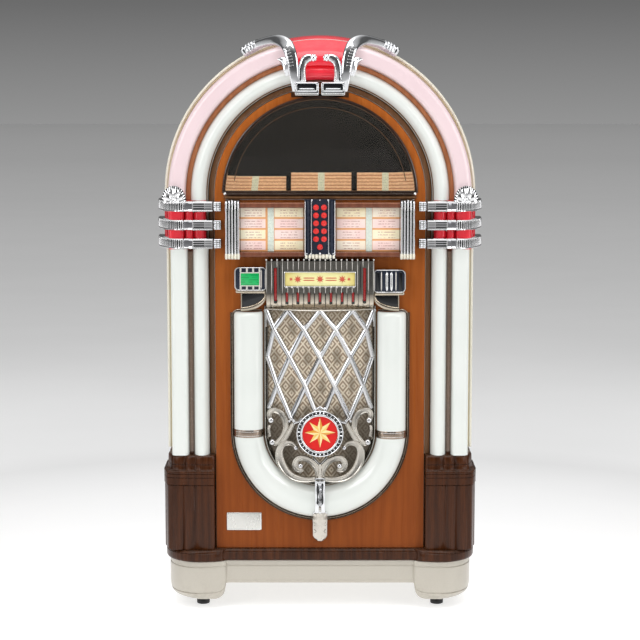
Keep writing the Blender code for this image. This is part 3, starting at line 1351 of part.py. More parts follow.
# Front lobes of a pilaster base: where each starts and ends across its width, and how far
# its crest falls back.
PILASTER_LOBE_SHARES = ((0.0, 0.295, 0.0), (0.295, 0.51, 0.15), (0.51, 0.88, 1.0))


def pilaster_plan(inset, lobed):
    """Plan of one tier of a pilaster base, for the right side."""
    inner, outer = PILASTER_INNER, PILASTER_OUTER - inset
    front, back = PILASTER_FRONT_Y + inset, FLANGE_FRONT_Y - GAP
    dip = PILASTER_LOBE_DEPTH if lobed else 0.0
    plan = [(inner, FRAME_FACE_Y - GAP)]
    for low_share, high_share, fall_share in PILASTER_LOBE_SHARES:
        start = inner + low_share * (outer - inner)
        width = (high_share - low_share) * (outer - inner)
        crest = front + PILASTER_FALL * fall_share
        plan += [
            (start + width * 0.04, crest + dip),
            (start + width * 0.25, crest),
            (start + width * 0.75, crest + dip / 6),
            (start + width * 0.96, crest + dip + PILASTER_FALL / 2),
        ]
    corner = PILASTER_FRONT_Y + PILASTER_CORNER
    depth = (back - corner) / PILASTER_SIDE_LOBES
    for at in range(PILASTER_SIDE_LOBES):
        start = corner + at * depth
        plan += [
            (outer - dip, start + depth * 0.04),
            (outer, start + depth * 0.25),
            (outer, start + depth * 0.75),
            (outer - dip, start + depth * 0.96),
        ]
    plan += [
        (outer - dip, back),
        (FRAME_OUTER_HALF + GAP, back),
        (FRAME_OUTER_HALF + GAP, FRAME_FACE_Y - GAP),
    ]
    return plan


def base_front(half, front_y):
    """Front of the plinth or skirt from the right side to the left: a bulge over each foot,
    with a wide round at the outer corner and a shallow one towards the straight middle."""
    middle_u = half - FOOT_ROUND
    inner_u = half - FOOT_LENGTH
    turns = [math.pi / 2 * step / CORNER_SEGMENTS for step in range(CORNER_SEGMENTS + 1)]
    outer = [
        (half - FOOT_ROUND * (1 - math.cos(t)), front_y + FOOT_ROUND_DEPTH * (1 - math.sin(t)))
        for t in turns
    ]
    inner = [
        (middle_u - (middle_u - inner_u) * math.sin(t), front_y + FOOT_BULGE * (1 - math.cos(t)))
        for t in turns[1:]
    ]
    right = outer + inner
    return right + [(-x, y) for x, y in reversed(right)]


def build_base():
    for label, side in SIDES.items():
        tiers = (
            (PLINTH_TOP_Z + GAP, PILASTER_BODY_Z, 0.0, True),
            (PILASTER_BODY_Z, PILASTER_BODY_Z + PILASTER_ROLL * 4, -PILASTER_ROLL, False),
            (PILASTER_BODY_Z + PILASTER_ROLL * 4, PILASTER_TIER_Z - PILASTER_ROLL * 3, 0.0, False),
            (PILASTER_TIER_Z - PILASTER_ROLL * 3, PILASTER_TIER_Z, -PILASTER_ROLL / 2, False),
            (PILASTER_TIER_Z, PILASTER_TOP_Z, PILASTER_TIER_INSET, True),
        )
        rings = []
        for low_z, high_z, inset, lobed in tiers:
            plan = [(side * x, y) for x, y in pilaster_plan(inset, lobed)]
            rings.append([Vector((x, y, low_z)) for x, y in plan])
            rings.append([Vector((x, y, high_z)) for x, y in plan])
        loft(f"pilaster_base_{label}", rings, DARK_WOOD)

    frame_y, side_y = FRAME_FACE_Y - GAP, FLANGE_FRONT_Y - GAP
    step = (PLINTH_TOP_Z - CARCASS_Z) / 4
    rings = []
    for z, inset in ((CARCASS_Z, step), (CARCASS_Z + step, 0.0), (PLINTH_TOP_Z - step, 0.0),
                     (PLINTH_TOP_Z, step)):
        half = PLINTH_HALF - inset
        side_u = FRAME_OUTER_HALF + GAP
        back = [(half, side_y), (side_u, side_y), (side_u, frame_y)]
        plan = base_front(half, PLINTH_FRONT_Y + inset) + [(-x, y) for x, y in back]
        plan += back[::-1]
        rings.append([Vector((x, y, z)) for x, y in plan])
    loft("plinth_moulding", rings, DARK_WOOD)

    top_z = CARCASS_Z - GAP
    plans = []
    for wall in (0.0, SKIRT_WALL):
        half = SKIRT_HALF - wall
        plan = base_front(half, SKIRT_FRONT_Y + wall)
        plans.append(plan + [(-half, SKIRT_BACK_Y - wall), (half, SKIRT_BACK_Y - wall)])
    skirt = prism_z("base_skirt", plans[0], SKIRT_LOW_Z, top_z, SATIN)
    pocket = prism_z(
        "skirt_pocket", plans[1], SKIRT_LOW_Z - SKIRT_WALL, top_z - SKIRT_WALL, SATIN
    )
    cut(skirt, pocket)
    gap_half = SKIRT_HALF - FOOT_LENGTH
    tunnel = box(
        "skirt_tunnel_y",
        (-gap_half, SKIRT_FRONT_Y - SKIRT_WALL, SKIRT_LOW_Z - SKIRT_WALL),
        (gap_half, SKIRT_BACK_Y + SKIRT_WALL, SKIRT_ARCH_Z),
        SATIN,
    )
    cut(skirt, tunnel)
    tunnel = box(
        "skirt_tunnel_x",
        (-SKIRT_HALF - SKIRT_WALL, SKIRT_FRONT_Y + FOOT_LENGTH, SKIRT_LOW_Z - SKIRT_WALL),
        (SKIRT_HALF + SKIRT_WALL, SKIRT_BACK_Y - FOOT_LENGTH, SKIRT_ARCH_Z),
        SATIN,
    )
    cut(skirt, tunnel)
    for row, y in (("front", -GLIDE_Y), ("rear", GLIDE_Y)):
        for label, side in SIDES.items():
            centre = (side * GLIDE_X, y)
            low_z = GLIDE_PAD_HEIGHT + GLIDE_STEM_RADIUS
            boss_low = SKIRT_LOW_Z
            levels = [(boss_low, GLIDE_BOSS_RADIUS), (top_z - SKIRT_WALL / 2, GLIDE_BOSS_RADIUS)]
            fuse(skirt, post(f"boss_{row}_{label}", centre, levels, 12, SATIN))
            bore = GLIDE_STEM_RADIUS + GAP
            levels = [(boss_low - SKIRT_WALL, bore), (GLIDE_STEM_TOP + SKIRT_WALL, bore)]
            cut(skirt, post(f"bore_{row}_{label}", centre, levels, 12, SATIN))
            lip = GLIDE_PAD_RADIUS / 6
            levels = [
                (0.0, GLIDE_PAD_RADIUS - lip),
                (lip, GLIDE_PAD_RADIUS),
                (GLIDE_PAD_HEIGHT - lip, GLIDE_PAD_RADIUS),
                (low_z, GLIDE_STEM_RADIUS),
                (GLIDE_STEM_TOP, GLIDE_STEM_RADIUS),
            ]
            glide = post(f"glide_{row}_{label}", (0.0, 0.0), levels, 14, DARK_METAL)
            glide.location = (centre[0], centre[1], 0.0)


def build_changer():
    """Deck on the cabinet's walls with a spindle, and the disc magazine that turns on it."""
    half = SHELL_HALF - SHELL_WALL - GAP
    deck_top = DECK_Z + DECK_THICKNESS
    deck = box("disc_mechanism", (-half, DECK_FRONT_Y, DECK_Z), (half, DECK_BACK_Y, deck_top), STEEL)
    tower_top = deck_top + TOWER_HEIGHT
    overlap = DECK_THICKNESS / 2
    levels = [(deck_top - overlap, TOWER_HALF), (tower_top, TOWER_HALF * 0.8)]
    fuse(deck, post("mechanism_tower", (0.0, CAROUSEL_Y), levels, 24, STEEL))
    levels = [(tower_top - overlap, SPINDLE_RADIUS), (tower_top + SPINDLE_TOP, SPINDLE_RADIUS)]
    fuse(deck, post("mechanism_spindle", (0.0, CAROUSEL_Y), levels, 20, STEEL))

    low_z = GAP
    plan = []
    for at in range(CAROUSEL_SLOTS):
        middle = 2 * math.pi * at / CAROUSEL_SLOTS
        half_turn = math.pi / CAROUSEL_SLOTS * 0.5
        inner = CAROUSEL_RADIUS - CAROUSEL_SLOT_DEPTH
        for turn, reach in (
            (middle - half_turn, CAROUSEL_RADIUS),
            (middle + half_turn, CAROUSEL_RADIUS),
            (middle + half_turn * 1.2, inner),
            (middle + half_turn * 2.8, inner),
        ):
            plan.append((reach * math.cos(turn), reach * math.sin(turn)))
    magazine = prism_z("disc_carousel", plan, low_z, CAROUSEL_HEIGHT, STEEL)
    bore = SPINDLE_RADIUS + GAP
    levels = [(low_z - DECK_THICKNESS, bore), (CAROUSEL_HEIGHT + DECK_THICKNESS, bore)]
    hole = post("carousel_bore", (0.0, 0.0), levels, 20, STEEL)
    cut(magazine, hole)
    magazine.location = (0.0, CAROUSEL_Y, tower_top)
    hole.location = magazine.location


build_cabinet()
build_plastics()
build_bands()
build_crown()
build_door()
build_rack()
build_escutcheon()
build_grille()
build_u_plastic()
build_drop()
build_base()
build_changer()
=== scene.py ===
"""A jukebox with a lit arch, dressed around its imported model. Lengths are metres, +Z is up and
the front faces -Y. On the arch and the columns, u is the distance from the middle line."""

import math

import bpy
import numpy as np
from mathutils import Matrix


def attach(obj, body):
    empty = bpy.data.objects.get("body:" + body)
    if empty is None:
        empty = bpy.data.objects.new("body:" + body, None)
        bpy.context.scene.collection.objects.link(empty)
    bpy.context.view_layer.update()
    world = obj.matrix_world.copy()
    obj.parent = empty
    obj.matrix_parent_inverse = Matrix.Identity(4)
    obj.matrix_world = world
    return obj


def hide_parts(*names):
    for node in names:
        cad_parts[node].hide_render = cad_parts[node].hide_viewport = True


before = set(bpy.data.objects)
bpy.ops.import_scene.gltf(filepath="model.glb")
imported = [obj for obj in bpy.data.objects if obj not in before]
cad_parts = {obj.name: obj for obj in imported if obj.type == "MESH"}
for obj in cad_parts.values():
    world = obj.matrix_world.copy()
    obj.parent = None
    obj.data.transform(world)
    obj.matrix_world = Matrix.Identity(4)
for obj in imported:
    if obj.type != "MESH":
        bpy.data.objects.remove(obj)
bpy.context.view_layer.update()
scene = bpy.context.scene

PI = np.pi
SIDES = {"left": -1, "right": 1}
DOOR = "front_door"
ARCH_Z = 1.108                      # centre of the arch
FRAME_Y = -0.265                    # face of the brown frame
BEHIND_Y = FRAME_Y - 0.0003         # backs of the plastics that lie on it
DOOR_Y = -0.285                     # face of the door
STEP_U, STEP_Y = 0.3456, -0.1485    # where the frame steps back to the cabinet's wall
BAND_Z, BAND_STEP, BAND_TALL = 0.967, 0.0485, 0.029    # lowest band, next band, height of one
U_Z = 0.483                         # centre of the U's bend
MEDALLION_Z = 0.4818
CASTING_X = 0.1475                  # half the grille casting's width


def steps(start, stop, count):
    return np.linspace(start, stop, count)


def pairs(*values):
    """Columns side by side as one array of points; a single number fills its column."""
    return np.stack(np.broadcast_arrays(*values), -1).astype(float)


def joined(*curves):
    """Curves one after the other, without the points that repeat."""
    points = np.concatenate([np.asarray(curve, float) for curve in curves])
    keep = np.ones(len(points), bool)
    keep[1:] = np.linalg.norm(np.diff(points, axis=0), axis=1) > 1e-7
    return points[keep]


def unit(vectors):
    return vectors / np.linalg.norm(vectors, axis=-1, keepdims=True)


def lengths(points):
    """Distance of each point of a line from its start, along the line."""
    return np.concatenate([[0], np.cumsum(np.linalg.norm(np.diff(points, axis=0), axis=1))])


def varied(count, at, values):
    """Values along a path of so many points, given at shares of its count."""
    return np.interp(steps(0, 1, count), at, values)


def first_corners(sizes):
    return np.concatenate([[0], np.cumsum(sizes)[:-1]])


def shell(points, loop=True, ring=False, ends=(True, True), paint=0):
    """Closed surface over a grid of points: each row is a loop, and the rows are joined in turn.

    ring joins the last row to the first. Otherwise each end is closed: True by one flat face,
    or a point by a fan of triangles to it. The faces are turned outwards at the end.
    """
    points = np.asarray(points, float)
    rows, columns = points.shape[:2]
    index = np.arange(rows * columns).reshape(rows, columns)
    here, there = (index, np.roll(index, -1, 1)) if loop else (index[:, :-1], index[:, 1:])
    if ring:
        quads = np.stack([here, there, np.roll(there, -1, 0), np.roll(here, -1, 0)], -1)
    else:
        quads = np.stack([here[:-1], there[:-1], there[1:], here[1:]], -1)
    corners, sizes = [quads.ravel()], [np.full(quads.size // 4, 4)]
    verts = [points.reshape(-1, 3)]
    if loop and not ring:
        for end, row in ((ends[0], index[0][::-1]), (ends[1], index[-1])):
            if end is True:
                corners.append(row)
                sizes.append(np.array([columns]))
            else:
                tip = np.full(columns, rows * columns + len(verts) - 1)
                verts.append(np.reshape(np.asarray(end, float), (1, 3)))
                corners.append(np.stack([row, np.roll(row, -1), tip], -1).ravel())
                sizes.append(np.full(columns, 3))
    verts, corners, sizes = (np.concatenate(part) for part in (verts, corners, sizes))
    owner = np.repeat(first_corners(sizes), sizes)
    after = np.arange(len(corners)) + 1
    after = np.where(after == owner + np.repeat(sizes, sizes), owner, after)
    first, middle = verts[corners[owner]], verts.mean(0)
    volume = np.einsum("ij,ij->i", first - middle,
                       np.cross(verts[corners] - middle, verts[corners[after]] - middle)).sum()
    return reversed_faces((verts, corners, sizes, paint)) if volume < 0 else (verts, corners, sizes, paint)


def reversed_faces(part):
    """The same shell with the corners of every face in the opposite order."""
    verts, corners, sizes, paint = part
    owner = np.repeat(first_corners(sizes), sizes)
    return verts, corners[owner * 2 + np.repeat(sizes, sizes) - 1 - np.arange(len(corners))], sizes, paint


def piece(name, shells, finishes, body="cabinet", stands_for=None, crease=38.0):
    """One mesh object made of shells. Each shell's paint says which of the finishes it takes."""
    shells = shells if isinstance(shells, list) else [shells]
    finishes = finishes if isinstance(finishes, list) else [finishes]
    shift = np.cumsum([0] + [len(part[0]) for part in shells[:-1]])
    verts = np.concatenate([part[0] for part in shells])
    corners = np.concatenate([part[1] + step for part, step in zip(shells, shift)])
    sizes = np.concatenate([part[2] for part in shells])
    paints = np.concatenate([np.full(len(part[2]), part[3]) for part in shells])
    mesh = bpy.data.meshes.new(name)
    mesh.vertices.add(len(verts))
    mesh.vertices.foreach_set("co", verts.astype(np.float32).ravel())
    mesh.loops.add(len(corners))
    mesh.loops.foreach_set("vertex_index", corners.astype(np.int32))
    mesh.polygons.add(len(sizes))
    mesh.polygons.foreach_set("loop_start", first_corners(sizes).astype(np.int32))
    for entry in finishes:
        mesh.materials.append(FINISHES[entry][0])
    mesh.polygons.foreach_set("material_index", paints.astype(np.int32))
    mesh.update(calc_edges=True)
    mesh.validate()
    mesh.shade_smooth()
    mesh.set_sharp_from_angle(angle=math.radians(crease))
    obj = bpy.data.objects.new(name, mesh)
    scene.collection.objects.link(obj)
    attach(obj, body)
    if stands_for:
        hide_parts(stands_for)
    return obj


def arc(centre, radii, start, stop, count=9):
    """Points at centre + (radius cos t, radius sin t) as t runs from start to stop."""
    t = steps(start, stop, count)
    across, up = np.broadcast_to(radii, 2)
    return pairs(centre[0] + across * np.cos(t), centre[1] + up * np.sin(t))


def spaced(points, count):
    """The same line with its points an equal distance apart."""
    points = np.asarray(points, float)
    at = lengths(points)
    return np.stack([np.interp(steps(0, at[-1], count), at, column) for column in points.T], -1)


def flowing(points, count):
    """Smooth line through the points: a Catmull-Rom curve, spaced evenly."""
    points = np.asarray(points, float)
    knots = np.concatenate([[2 * points[0] - points[1]], points, [2 * points[-1] - points[-2]]])
    at = steps(0, len(points) - 1, len(points) * 12)
    low = np.minimum(at.astype(int), len(points) - 2)
    t = (at - low)[:, None]
    a, b, c, d = (knots[low + step] for step in range(4))
    curve = b + 0.5 * t * (c - a + t * (2 * a - 5 * b + 4 * c - d + t * (3 * (b - c) + d - a)))
    return spaced(curve, count)


def around(section, z, turns, side=1, inset=0.0):
    """The section (u, y) carried up the column and round the arch: a point is at the height z
    plus u times the direction (cos turn, sin turn)."""
    z, turns = np.broadcast_arrays(np.asarray(z, float), np.asarray(turns, float))
    u = section[None, :, 0] - np.reshape(inset, (-1, 1))
    x = side * u * np.cos(turns)[:, None]
    height = z[:, None] + u * np.sin(turns)[:, None]
    return pairs(x, np.broadcast_to(section[None, :, 1], x.shape), height)


def carried(section, path, width=1.0, depth=1.0, ring=False):
    """The section (across, forward), or a circle of so many points, carried along a path.
    Across is square to the path and to -Y; width and depth scale the section along the way."""
    section = circle(section) if isinstance(section, int) else np.asarray(section, float)
    path = np.asarray(path, float)
    along = np.roll(path, -1, 0) - np.roll(path, 1, 0) if ring else np.gradient(path, axis=0)
    along = unit(along)
    across = unit(np.cross(along, [0.0, -1.0, 0.0]))
    front = np.cross(across, along)
    width, depth = (np.broadcast_to(value, len(path))[:, None, None] for value in (width, depth))
    sideways = section[None, :, :1] * width * across[:, None]
    return path[:, None] + sideways + section[None, :, 1:] * depth * front[:, None]


def circle(count, radius=0.5):
    t = PI * 2 * np.arange(count) / count
    return radius * pairs(np.cos(t), np.sin(t))


def half_round(count=12, floor=-0.15):
    """Bar section one unit wide: a half round in front of a short flat back."""
    return joined(arc((0, 0), (0.5, 1.0), 0, PI, count), [(-0.5, floor), (0.5, floor)])


def boxed(count, power):
    """Section one unit wide between a circle (power 1) and a square (power 0)."""
    t = PI * 2 * (np.arange(count) + 0.5) / count
    return 0.5 * pairs(*(np.sign(f(t)) * np.abs(f(t)) ** power for f in (np.cos, np.sin)))


# Bar sections one unit wide: two flat flanks under a narrow crown, and two rounded ridges with
# a shallow hollow between them.
ROOF = np.array([(0.5, -0.2), (0.5, 0.12), (0.3, 0.72), (0.09, 0.98), (-0.09, 0.98), (-0.3, 0.72),
                 (-0.5, 0.12), (-0.5, -0.2)])
RIDGES = np.array([(0.5, -0.5), (0.5, 0.25), (0.46, 0.62), (0.38, 0.82), (0.3, 0.78), (0.2, 0.6),
                   (0.0, 0.54), (-0.2, 0.6), (-0.3, 0.78), (-0.38, 0.82), (-0.46, 0.62), (-0.5, 0.25),
                   (-0.5, -0.5)])


def bar(path, width, depth, section, taper=None, paint=0):
    """A rounded bar along a path. With taper its ends close smoothly, as a quarter circle."""
    path = np.asarray(path, float)
    if taper:
        at = lengths(path)
        near = np.minimum(at, at[-1] - at) / taper
        swell = np.sqrt(np.clip(1 - (1 - np.clip(near, 0.02, 1)) ** 2, 0.03, 1))
        width, depth = width * swell, depth * swell
    return shell(carried(section, path, width, depth), paint=paint)


def hoop(line, y, width, depth, count=8, paint=0):
    """A round bar along a closed line (x, z) at one depth."""
    path = pairs(line[:, 0], y, line[:, 1])
    return shell(carried(count, path, width, depth, ring=True), ring=True, paint=paint)


def both(parts):
    """The parts, and the same again on the other side of the middle."""
    return parts + [reversed_faces((part[0] * [-1, 1, 1], *part[1:])) for part in parts]


def slab(outline, back, front, edge=0.0015, paint=0, count=4):
    """Plate with a rounded front edge: the closed outline (x, z) is carried from back to front,
    and drawn in by a quarter circle of the edge's radius at the front."""
    outline = np.asarray(outline, float)
    area = np.sum(outline[:, 0] * np.roll(outline[:, 1], -1)
                  - outline[:, 1] * np.roll(outline[:, 0], -1))
    if area < 0:
        outline = outline[::-1]
    one, two = unit(outline - np.roll(outline, 1, 0)), unit(np.roll(outline, -1, 0) - outline)
    normal = pairs((one + two)[:, 1], -(one + two)[:, 0])
    normal /= np.maximum(np.einsum("ij,ij->i", normal, pairs(one[:, 1], -one[:, 0])), 0.35)[:, None]
    t = steps(0, PI / 2, count)
    forward = 1 if front > back else -1
    levels = np.concatenate([[back], front - forward * edge * (1 - np.sin(t))])
    insets = np.concatenate([[0], edge * (1 - np.cos(t))])
    flat = outline[None] - insets[:, None, None] * normal[None]
    return shell(pairs(flat[..., 0], levels[:, None], flat[..., 1]), paint=paint)


def rounded_box(low_a, high_a, low_b, high_b, radius, count=4):
    """Rectangle with quarter-circle corners, as (a, b) pairs."""
    corners = (((high_a - radius), (low_b + radius), -PI / 2), (high_a - radius, high_b - radius, 0),
               (low_a + radius, high_b - radius, PI / 2), (low_a + radius, low_b + radius, PI))
    return joined(*[arc((a, b), radius, t, t + PI / 2, count) for a, b, t in corners])


def plate(box, back, front, edge=0.0015, paint=0):
    """Slab with the outline of a rounded box (low x, high x, low z, high z, radius)."""
    return slab(rounded_box(*box), back, front, edge, paint)


def block(low, high, edge=0.001, paint=0):
    """Box from its lowest to its highest corner, rounded towards the front."""
    return plate((low[0], high[0], low[2], high[2], edge * 1.5), high[1], low[1], edge, paint)


def relief(front, back_y, paint=0):
    """Closed plate: a grid of front points, with each row brought back along a flat rear."""
    rear = front[:, ::-1].copy()
    rear[..., 1] = back_y
    return shell(np.concatenate([front, rear], 1), paint=paint)


def turned(profile, centre, count=32, axis="y", paint=0):
    """Surface of revolution: each (radius, distance) of the profile goes round the axis. A
    radius of nought at an end closes it in a point."""
    profile, centre = np.asarray(profile, float), np.asarray(centre, float)
    middle = profile[profile[:, 0] > 1e-9]
    t = PI * 2 * np.arange(count) / count
    radius, along = middle[:, :1], middle[:, 1:]
    one, two = radius * np.cos(t), radius * np.sin(t)
    order = {"y": (one, along, two), "z": (one, two, along)}[axis]
    tips = []
    for row in (profile[0], profile[-1]):
        tip = centre + ((0, row[1], 0) if axis == "y" else (0, 0, row[1]))
        tips.append(tip if row[0] < 1e-9 else True)
    return shell(centre + pairs(*order), ends=tips, paint=paint)


def ball(centre, radius, paint=0, squash=1.0):
    t = steps(0, PI, 15)
    profile = pairs(radius * np.sin(t), -radius * squash * np.cos(t))
    profile[0, 0] = profile[-1, 0] = 0.0
    return turned(profile, centre, 20, "y", paint)


FINISHES = {}


def colour(value):
    """A typed colour: three numbers are as on a screen, 0 to 255; four are linear already."""
    if not isinstance(value, tuple) or len(value) == 4:
        return value
    values = np.array(value) / 255
    linear = np.where(values <= 0.04045, values / 12.92, ((values + 0.055) / 1.055) ** 2.4)
    return (*[float(part) for part in linear], 1.0)


def fill(socket, value):
    """Sets a node's input to a value, or links a wire to it."""
    if isinstance(value, Wire):
        value.tree.links.new(value.socket, socket)
    else:
        socket.default_value = value


def add_node(tree, kind, inputs, output=0, **settings):
    """A new shader node, as the wire that leaves it."""
    made = tree.nodes.new(kind)
    for key, value in settings.items():
        setattr(made, key, value)
    for key, value in inputs.items():
        fill(made.inputs[key], value)
    return Wire(tree, made.outputs[output])


class Wire:
    """A shader socket in its tree. Sums, differences and products become math nodes."""

    def __init__(self, tree, socket):
        self.tree, self.socket = tree, socket

    def math(self, operation, other=0.5):
        return add_node(self.tree, "ShaderNodeMath", {0: self, 1: other}, operation=operation)

    def __add__(self, other):
        return self.math("ADD", other)

    def __sub__(self, other):
        return self.math("SUBTRACT", other)

    def __mul__(self, other):
        return self.math("MULTIPLY", other)

    def __truediv__(self, other):
        return self.math("DIVIDE", other)

    def ramp(self, low, high, out_low=0.0, out_high=1.0):
        return add_node(self.tree, "ShaderNodeMapRange", {"Value": self, "From Min": low, "From Max": high,
                                                          "To Min": out_low, "To Max": out_high})

    def stretched(self, scale):
        return add_node(self.tree, "ShaderNodeMapping", {"Vector": self, "Scale": scale})

    def noise(self, scale, detail=3.0, rough=0.5, stretch=None):
        vector = self.stretched(stretch) if stretch else self
        return add_node(self.tree, "ShaderNodeTexNoise",
                        {"Vector": vector, "Scale": scale, "Detail": detail, "Roughness": rough})

    def axis(self, name):
        return add_node(self.tree, "ShaderNodeSeparateXYZ", {0: self}, name)


def blend(share, one, two):
    """The colour at a share of the way from one to two."""
    tree = next(value.tree for value in (share, one, two) if isinstance(value, Wire))
    return add_node(tree, "ShaderNodeMix", {0: share, 6: colour(one), 7: colour(two)}, 2,
                    data_type="RGBA", blend_type="MIX", clamp_factor=True)


def effect(name, build, **inputs):
    """A node group with a vector and named inputs, and the outputs that build makes of them."""
    tree = bpy.data.node_groups.new(name, "ShaderNodeTree")
    inputs = {key.replace("_", " "): value for key, value in inputs.items()}
    tree.interface.new_socket("Vector", in_out="INPUT", socket_type="NodeSocketVector")
    for label, value in inputs.items():
        kind = "NodeSocketColor" if isinstance(value, tuple) else "NodeSocketFloat"
        tree.interface.new_socket(label, in_out="INPUT", socket_type=kind).default_value = value
    given = tree.nodes.new("NodeGroupInput").outputs
    made = build(*[Wire(tree, given[label]) for label in ("Vector", *inputs)])
    for label in made:
        kind = "NodeSocketColor" if label == "Color" else "NodeSocketFloat"
        tree.interface.new_socket(label, in_out="OUTPUT", socket_type=kind)
    out = tree.nodes.new("NodeGroupOutput").inputs
    for label, wire in made.items():
        fill(out[label], wire)
    return tree


def use(group, place, **values):
    """The group placed in a material: its outputs by name."""
    made = place.tree.nodes.new("ShaderNodeGroup")
    made.node_tree = group
    fill(made.inputs["Vector"], place)
    for key, value in values.items():
        fill(made.inputs[key.replace("_", " ")], colour(value))
    return {socket.name: Wire(place.tree, socket) for socket in made.outputs}


def veneer(place, pale, dark, figure, low, high):
    """Wood: long fibres from a stretched noise, broad figure from bent bands, dark pores."""
    fibre = place.noise(1.0, 6.0, 0.6, (160.0, 160.0, 5.0))
    streak = place.noise(1.0, 3.0, 0.5, (26.0, 26.0, 0.9))
    bands = add_node(place.tree, "ShaderNodeTexWave",
                     {"Vector": place.stretched((1.0, 1.0, 0.1)), "Scale": 13.0, "Distortion": 9.0,
                      "Detail": 2.0, "Detail Scale": 1.6}, "Fac", wave_type="BANDS", bands_direction="X")
    pores = place.noise(1.0, 2.0, 0.5, (420.0, 420.0, 16.0)).ramp(0.36, 0.46)
    grained = blend((bands * figure + fibre * 0.55 + streak * 0.75).ramp(0.42, 1.15), dark, pale)
    return {"Color": blend(pores, blend(0.45, grained, dark), grained),
            "Roughness": fibre.ramp(0.3, 0.7, low, high), "Height": pores + fibre * 0.4}


def marks(place, size, low, high):
    """Handling marks: cloudy patches and fine wipes that change how a finish shines."""
    clouds = place.noise(size, 5.0, 0.65)
    mask = (clouds * place.noise(60.0, 3.0, 0.6, (1.0, 1.0, 0.12))).ramp(0.14, 0.42)
    return {"Roughness": mask.ramp(0.0, 1.0, low, high), "Mask": mask, "Height": clouds}


def dust(place, amount):
    """A thin film that settles on faces that look up, broken by noise."""
    normal = add_node(place.tree, "ShaderNodeNewGeometry", {}, "Normal")
    return {"Mask": normal.axis("Z").ramp(0.35, 0.95) * place.noise(45.0, 6.0, 0.7).ramp(0.3, 0.7) * amount}


def edges(place, amount):
    """Edges made bright where the surface bends outwards, broken by noise: partly rubbed wear, partly a
    painted highlight.
    """
    bend = add_node(place.tree, "ShaderNodeNewGeometry", {}, "Pointiness")
    return {"Mask": bend.ramp(0.52, 0.6) * place.noise(90.0, 4.0, 0.6).ramp(0.35, 0.6) * amount}


VENEER = effect("wood veneer", veneer, Pale=(1.0, 1.0, 1.0, 1.0), Dark=(0.0, 0.0, 0.0, 1.0), Figure=0.5,
                Gloss_Low=0.2, Gloss_High=0.35)
MARKS = effect("handling marks", marks, Size=20.0, Low=0.05, High=0.15)
DUST = effect("settled dust", dust, Amount=0.2)
# Brightens convex edges: partly wear, partly a painted highlight.
EDGE_WEAR_AND_HIGHLIGHT = effect("rubbed and highlit edges", edges, Amount=0.5)


def start_finish(name, slot, base, roughness, **sockets):
    """A material with its constants typed on the shader, and the place its patterns start from."""
    mat = bpy.data.materials.new(name)
    mat.use_nodes = True
    shader = mat.node_tree.nodes["Principled BSDF"]
    for key, value in {"Base Color": base, "Roughness": roughness, **sockets}.items():
        shader.inputs[key.replace("_", " ")].default_value = colour(value)
    FINISHES[name] = (mat, slot)
    mat.diffuse_color = colour(base)
    return shader, add_node(mat.node_tree, "ShaderNodeTexCoord", {}, "Object")


def feed(shader, color=None, rough=None, height=None, strength=0.1, distance=0.001, glow=None):
    """Links patterns to the shader; glow is the strength at which the colour also shines."""
    if color:
        fill(shader.inputs["Base Color"], color)
    if rough:
        fill(shader.inputs["Roughness"], rough)
    if height:
        bump = {"Height": height, "Strength": strength, "Distance": distance}
        fill(shader.inputs["Normal"], add_node(height.tree, "ShaderNodeBump", bump))
    if glow:
        fill(shader.inputs["Emission Color"], color)
        shader.inputs["Emission Strength"].default_value = glow


def wood(name, slot, pale, dark, figure, gloss=(0.25, 0.4), coat=0.1, dusty=0.06):
    shader, place = start_finish(name, slot, pale, 0.3, Coat_Weight=coat, Coat_Roughness=0.12,
                                 Specular_IOR_Level=0.2)
    grain = use(VENEER, place, Pale=pale, Dark=dark, Figure=figure, Gloss_Low=gloss[0], Gloss_High=gloss[1])
    # Convex edges turn pale: partly rubbed wear, partly a painted highlight.
    lit = blend(use(EDGE_WEAR_AND_HIGHLIGHT, place, Amount=0.35)["Mask"], grain["Color"], pale)
    film = use(DUST, place, Amount=dusty)["Mask"]
    feed(shader, blend(film, lit, (190, 184, 172)), grain["Roughness"], grain["Height"], 0.12, 0.0006)


def metal(name, base, low, high, size=22.0, bump=0.03, slot="chrome"):
    """Plated or bare metal: marks cloud its shine, and the casting is never quite even."""
    shader, place = start_finish(name, slot, base, low, Metallic=1.0)
    base = colour(base)
    # Convex edges turn brighter: partly rubbed plating, partly a painted highlight.
    worn_and_lit = use(EDGE_WEAR_AND_HIGHLIGHT, place, Amount=0.25)["Mask"]
    cloud = use(MARKS, place, Size=size, Low=low, High=high)
    shade = blend(cloud["Mask"], base, tuple(value * 0.86 for value in base))
    feed(shader, blend(worn_and_lit, shade, tuple(min(1.0, value * 1.15) for value in base)), cloud["Roughness"],
         cloud["Height"], bump, 0.002)


def gloss(name, slot, base, second, rough=(0.08, 0.2), coat=0.5, **sockets):
    """Moulded or enamelled gloss: a slow drift between two shades, and faint handling marks."""
    shader, place = start_finish(name, slot, base, rough[0], Coat_Weight=coat, Coat_Roughness=0.06, **sockets)
    cloud = use(MARKS, place, Size=14.0, Low=rough[0], High=rough[1])
    shade = blend(place.noise(6.0, 2.0).ramp(0.3, 0.7), base, second)
    film = use(DUST, place, Amount=0.08)["Mask"]
    feed(shader, blend(film, shade, (205, 200, 190)), cloud["Roughness"], cloud["Height"], 0.02, 0.002)


def make_roll_satin():
    """Satin casting with painted shade: dark where it leaves the ribbed face and pale towards its foot."""
    shader, place = start_finish("roll satin", "chrome", (196, 184, 166), 0.2, Metallic=1.0)
    # Painted shade: the colour darkens from the foot of the roll up to the ribbed face.
    pale = blend(place.axis("Z").ramp(0.8235, 0.8525), (206, 196, 180), (104, 98, 90))
    cloud = use(MARKS, place, Size=30.0, Low=0.18, High=0.32)
    feed(shader, pale, cloud["Roughness"], cloud["Height"], 0.05, 0.002)


